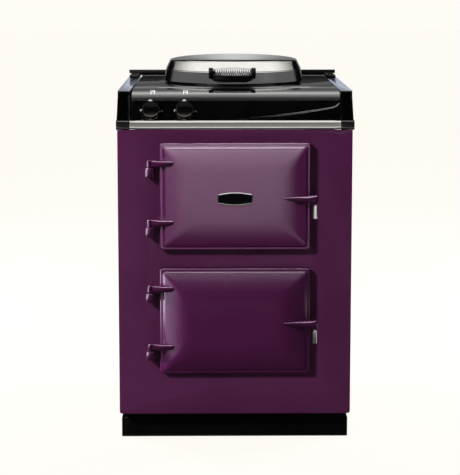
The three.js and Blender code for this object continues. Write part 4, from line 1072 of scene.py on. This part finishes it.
rail_rows = [(RAIL_LOW.x, RAIL_EDGE), (RAIL_LOW.x + RAIL_EDGE, 0),
             *[(RAIL_LOW.x * (1 - step / 12), 0) for step in range(1, 24)],
             (RAIL_HIGH.x - RAIL_EDGE, 0), (RAIL_HIGH.x, RAIL_EDGE)]
add_piece("drawn_hand_rail", "hand_rail", [rail_ring(*row) for row in rail_rows], rail_steel, sharp=60)
print("rail", round(RAIL_HIGH.x - RAIL_LOW.x, 3), "m long")

# %% [markdown]
# ## The lid
# The lid is spun from one disc and chrome plated. Its lower wall is nearly upright, a fine bead runs round
# where the upper wall starts to lean in, and a low dome closes the top. A lathe with many facets keeps the
# reflections smooth.

# %% Spun lid
LID_LOW, LID_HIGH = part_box("lid_shell")
LID_SPOT = Matrix.Translation(((LID_LOW.x + LID_HIGH.x) / 2, (LID_LOW.y + LID_HIGH.y) / 2, LID_LOW.z))
SHEET_THICKNESS, LID_FACETS = 2.5, 180
RIM = [(187.6, 0.4), (188.6, 0), (189.6, 0.5)]
DOME_SHARES = (0.98, 0.95, 0.9, 0.83, 0.75, 0.65, 0.54, 0.42, 0.3, 0.18, 0.08, 0)


def lid_skin(inset):
    """The skin as (radius, height), moved inward by a sheet's thickness."""
    wall = [(190 - 0.2 * z - inset, z) for z in (2, 8, 15, 22, 29)]
    bead = [(183.9 - inset, 30), (183.1 - inset, 30.6), (183.1 - inset, 31.3), (183.5 - inset, 31.9)]
    upper = [(183.5 - inset - 0.47 * (z - 31.9), z) for z in (36, 41, 46, 50)]
    shoulder = [(173.6 - inset, 52.6), (172.7 - inset, 54.3 - inset / 3), (171.4 - inset, 56 - inset / 2)]
    dome = [((170 - inset) * s, 56 - inset + 12 * (1 - s * s) ** 0.62) for s in DOME_SHARES]
    return wall + bead + upper + shoulder + dome


lid_profile = [*lid_skin(SHEET_THICKNESS)[::-1], *RIM, *lid_skin(0)]
lid_rings = lathe(lid_profile, LID_FACETS, LID_SPOT)
lid = add_piece("spun_lid", "lid_shell", lid_rings, chrome, closed=False, sharp=50)
print("lid", len(lid.data.polygons), "faces")

# %% [markdown]
# ## The lid handle's bracket
# Two flat cheeks with round noses carry the handle, and a bar joins them below it. Each cheek is an outline
# seen from the side, swept across its thickness, with smaller outlines at both faces for the rounded edges.

# %% Handle bracket
HANDLE_AXIS = centre_of("lid_handle_rod")
ROD_LOW, ROD_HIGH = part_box("lid_handle_rod")
CHEEK_WIDE, NOSE, CHEEK_FOOT, CHEEK_BACK = 12, 10.5, -19, 44
EDGE_ROWS = [(0, 1.6), (0.5, 0.5), (1.6, 0)]


def side_outline(shrink):
    """A cheek seen from the side, as (y, z) from the handle's axis."""
    nose = arc((0, 0), NOSE - shrink, 270, 90, 14)
    back = [(18, NOSE - 0.5 - shrink), (CHEEK_BACK + 3, NOSE - 2.5 - shrink)]
    foot = [(CHEEK_BACK, CHEEK_FOOT + shrink), (20, CHEEK_FOOT + shrink), (9, CHEEK_FOOT + 3 + shrink)]
    return nose + back + foot


def bar_outline(shrink):
    """The bar seen from the side, with its two front corners cut off."""
    front, back, foot, top = 6 + shrink, CHEEK_BACK - 6, CHEEK_FOOT - 5 + shrink, -NOSE - shrink
    corners = [(front, foot + 2), (front, top - 2), (front + 2, top), (back, top), (back, foot)]
    return [*corners, (front + 2, foot)]


def swept_side(name, start, end, outline):
    """A side outline swept from one X to another, in metres, with rounded edges."""
    rows = [(start + inward * MM, shrink) for inward, shrink in EDGE_ROWS]
    rows += [(end - inward * MM, shrink) for inward, shrink in reversed(EDGE_ROWS)]
    rings = [[Vector((x, HANDLE_AXIS.y + y * MM, HANDLE_AXIS.z + z * MM)) for y, z in outline(shrink)]
             for x, shrink in rows]
    add_piece(name, "lid_handle_bracket", rings, black_trim, sharp=55)


swept_side("handle_cheek_left", ROD_LOW.x - CHEEK_WIDE * MM, ROD_LOW.x, side_outline)
swept_side("handle_cheek_right", ROD_HIGH.x, ROD_HIGH.x + CHEEK_WIDE * MM, side_outline)
swept_side("handle_bar", ROD_LOW.x - 1 * MM, ROD_HIGH.x + 1 * MM, bar_outline)
print("cheeks stand", round(ROD_HIGH.x - ROD_LOW.x, 3), "m apart")

# %% [markdown]
# ## The wire handle
# The handle stays cool because air passes through it: one chromed wire is wound round a steel core in sixteen
# turns, wider at the middle. The wire is swept along its helix with a frame that never twists.

# %% Wound wire
COIL_LOW, COIL_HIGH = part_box("lid_handle_coil")
TURNS, WIRE, END_RADIUS, MIDDLE_RADIUS, TURN_STEPS, WIRE_SIDES = 16, 1.8, 7.5, 10.7, 26, 12


def wire_path():
    """The wire's middle line in millimetres, with a short straight length at each end."""
    half = (COIL_HIGH.x - COIL_LOW.x) / 2 / MM
    wound, count, path = half - 2 * WIRE, TURNS * TURN_STEPS, []
    for i in range(count + 1):
        share = i / count
        turn = 2 * math.pi * TURNS * share
        radius = END_RADIUS + (MIDDLE_RADIUS - END_RADIUS) * math.sin(math.pi * share)
        path.append(Vector((wound * (2 * share - 1), radius * math.sin(turn), radius * math.cos(turn))))
    return [Vector((-half, path[0].y, path[0].z)), *path, Vector((half, path[-1].y, path[-1].z))]


def swept_wire(path, centre):
    """Rings round a path, with the frame carried along from ring to ring."""
    normal, rings = Vector((0, 0, 1)), []
    for i, point in enumerate(path):
        along = (path[min(i + 1, len(path) - 1)] - path[max(i - 1, 0)]).normalized()
        normal = (normal - along * normal.dot(along)).normalized()
        across = along.cross(normal)
        rings.append([centre + (point + WIRE * (math.cos(t) * normal + math.sin(t) * across)) * MM
                      for t in whole_turn(WIRE_SIDES)])
    return rings


wire_rings = swept_wire(wire_path(), (COIL_LOW + COIL_HIGH) / 2)
coil = add_piece("wound_handle_wire", "lid_handle_coil", wire_rings, chrome, sharp=60)
print("wire", len(coil.data.polygons), "faces")

# %% [markdown]
# ## Light for single pieces
# A product photographer lights panel, doors, rail and lid one by one, with narrow beams and small boards that
# the other pieces do not see. The panel's light comes from above left, and only the doors and their hinges
# shade it. The upper door has a soft sheen that fades downwards, and the lower one has it only on its left
# and top slopes. Black enamel, rail, grips, knobs and lid each have their own bright board to mirror.

# %% Groups of pieces
def pieces_of(*nodes):
    """The named CAD nodes and the finer pieces that stand for them."""
    return [o for o in scene.objects if o.name in nodes or STAND_IN.get(o.name) in nodes]


shells = pieces_of(*each_door("door_shell"))
upper_casting, lower_casting = [[o for o in shells if o.name == name] for name in each_door("door_casting")]
castings = upper_casting + lower_casting
arms = [o for o in shells if o not in castings] + pieces_of(*each_hinge("hinge_bracket"))
grips = pieces_of(*each_door("door_grip"))
panels = pieces_of("front_panel", "side_panel_left", "side_panel_right")
rail_ends = pieces_of("rail_end_left", "rail_end_right")
trims = pieces_of("side_trim_left", "side_trim_right")
black_pieces = [*pieces_of("fascia", "top_plate"), *trims]
set_apart = {*upper_casting, *arms, *panels, *grips, *pieces_of("hand_rail", "lid_shell")}
others = [o for o in scene.objects if o.type == "MESH" and not o.get("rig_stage") and o not in set_apart]
print(len(arms), "arms and brackets,", len(others), "other pieces")

# %% Key light and beams
KEY_PLACE, KEY_TARGET, KEY_SIZE = (-1.85, -2.15, 2.15), (0, -0.3, 0.6), 0.5
shades = [o for o in castings + arms if "handle" not in o.name]
upper_beam = softbox("upper_door_beam", (-0.5, -1.25, 1.5), (0, -0.3, 0.68), 0.5, 19, mirrored=False)
lower_beam = softbox("lower_door_beam", (-1.6, -0.42, 0.5), (-0.15, -0.3, 0.35), 0.4, 40, mirrored=False)
receive(softbox("panel_key", (-6.7, -7.8, 6.5), KEY_TARGET, 1.7, 1500, mirrored=False), panels, shades)
receive(softbox("key", KEY_PLACE, KEY_TARGET, KEY_SIZE, 88), others)
receive(softbox("upper_door_key", KEY_PLACE, KEY_TARGET, KEY_SIZE, 70), upper_casting)
receive(upper_beam, upper_casting)
receive(lower_beam, lower_casting)
receive(softbox("arm_beam", (-1.3, -0.6, 1.7), (-0.1, -0.34, 0.5), 0.4, 60), arms)
print("key light and beams placed")


# %% Door sheens
def gleam(name, strength, colour, make, place, pieces, shape=None):
    """A see-through glowing board that only some pieces mirror. shape gives its share of light at a point."""
    glow = Glow(name, strength, clear=True)
    glow.shade(shape(glow) if shape else 1, BLACK, rgb(colour))
    receive(make(name, *place, glow), pieces)


def upper_sheen(glow):
    x, z = glow.where("X"), glow.where("Z")
    rising = 0.3 + 0.1 * glow.band(z, 0, 0.3) + 0.2 * glow.band(z, 0.3, 0.6) + 0.4 * glow.band(z, 0.6, 1.9)
    return rising * (glow.band(x, 0.1, 1.2, 1, 0) * glow.band(x, -1.2, -0.4, 0.6, 1))


def lower_sheen(glow):
    z = glow.where("Z")
    return 0.25 * glow.band(z, 0.5, 0.95) + 0.75 * glow.band(z, 0.9, 1.4)


def side_sheen(glow):
    x = glow.where("X")
    return 0.4 * glow.band(x, -0.9, -0.25, 1, 0) + 0.6 * glow.band(x, -1.5, -0.85, 1, 0)


gleam("upper_sheen", 3.25, "FFFAFF", flat_board, ((-1.8, 1.4), -1.5, (0.01, 2.6)), upper_casting, upper_sheen)
gleam("upper_floor_sheen", 0.96, "FFFAFF", level_board, ((-1.8, 1.4), (-1.49, -0.7), 0.006), upper_casting,
      lambda glow: glow.band(glow.where("Y"), -1.5, -0.7, 1, 0.1))
gleam("lower_sheen", 1.4, "F6E6FF", flat_board, ((-1.8, 1.4), -1.52, (0.4, 2.6)), lower_casting, lower_sheen)
gleam("side_sheen", 6, "EDE6FF", flat_board, ((-2.6, -0.2), -0.9, (0.02, 0.5)), lower_casting, side_sheen)
gleam("ridge_light", 30, "F4F0FF", level_board, ((-0.7, 0.7), (-0.9, 0.3), 2.4), lower_casting + arms)
gleam("upper_ridge_light", 22, "FFFAFF", level_board, ((-0.7, 0.7), (-1.5, 0.3), 2.4), upper_casting)
gleam("left_light", 7, "F0EAFF", side_board, (-1.5, (-1, 0.4), (0.02, 1.1)), lower_casting + arms)
print("doors lit")


# %% Black enamel, rail, grips and knobs
def ceiling_share(glow):
    y = glow.where("Y")
    return glow.band(y, -0.9, 0.5) * glow.band(y, 1.6, 3.4, 1, 0.2)


def low_band(glow):
    """A band of light well below the rail, for its lower front to mirror."""
    z = glow.where("Z")
    return glow.band(z, 0.34, 0.4) * glow.band(z, 0.52, 0.62, 1, 0)


gleam("enamel_ceiling", 2.4, "FFFFFF", level_board, ((-2, 2), (-1.2, 4), 2.6), black_pieces, ceiling_share)
gleam("hob_glow", 1, "FFFFFF", flat_board, ((-2.5, 2.5), 2.2, (1.45, 3.6)), black_pieces,
      lambda glow: glow.band(glow.where("Z"), 1.7, 2, 0, 0.9))
gleam("trim_glow", 0.75, "DCE6FF", flat_board, ((-2.5, 2.5), 2.3, (0.9, 2.4)), trims)
gleam("swoosh_light", 26, "FFFFFF", flat_board, ((-1.6, 2.6), -0.78, (0.02, 0.74)), pieces_of("fascia"))

# The hob plate mirrors the lid's dark wall. A strip in front of the lid lifts it to grey at both sides.
gleam("deck_strip", 0.7, "FFFFFF", flat_board, ((-0.2, 0.2), -0.152, (0.9173, 0.99)), pieces_of("top_plate"),
      lambda glow: 0.12 + 0.88 * glow.band(glow.maths("ABSOLUTE", glow.where("X")), 0.02, 0.15))

gleam("rail_strip", 0.8, "FFFBF5", flat_board, ((-1.6, 1.6), -1.02, (0.2, 1.4)),
      pieces_of("hand_rail") + rail_ends, lambda glow: 0.24 + 0.76 * low_band(glow))
gleam("cap_strip", 9, "FFFBF5", flat_board, ((-1.6, 1.6), -1.04, (0.2, 2)), rail_ends,
      lambda glow: 0.3 * low_band(glow) + glow.band(glow.where("Z"), 1.3, 1.5))
gleam("grip_light", 0.7, "FFFBF5", flat_board, ((-2.4, 2.4), -1.6, (0.02, 1.4)), grips)
gleam("knob_veil", 12, "FFF4E4", flat_board, ((-0.8, 0.5), -1.2, (0.85, 1.25)),
      pieces_of("left_knob", "right_knob"), lambda glow: glow.band(glow.where("Z"), 1.02, 1.22, 1, 0))
gleam("coil_light", 1.1, "FFFFFF", flat_board, ((-1.6, 1.6), -1.7, (0.5, 2.4)),
      pieces_of("lid_handle_coil", "lid_handle_rod"))
gleam("lid_fill", 0.1, "FFFFFF", curved_board, (2.1, -125, 125, edge_at(0.5), lower_at_sides(2.2, 1.6)),
      pieces_of("lid_shell"), lambda glow: glow.band(glow.where("Y"), 0.9, 1.35, 1, 0))
print("boards for bright and black pieces stand")
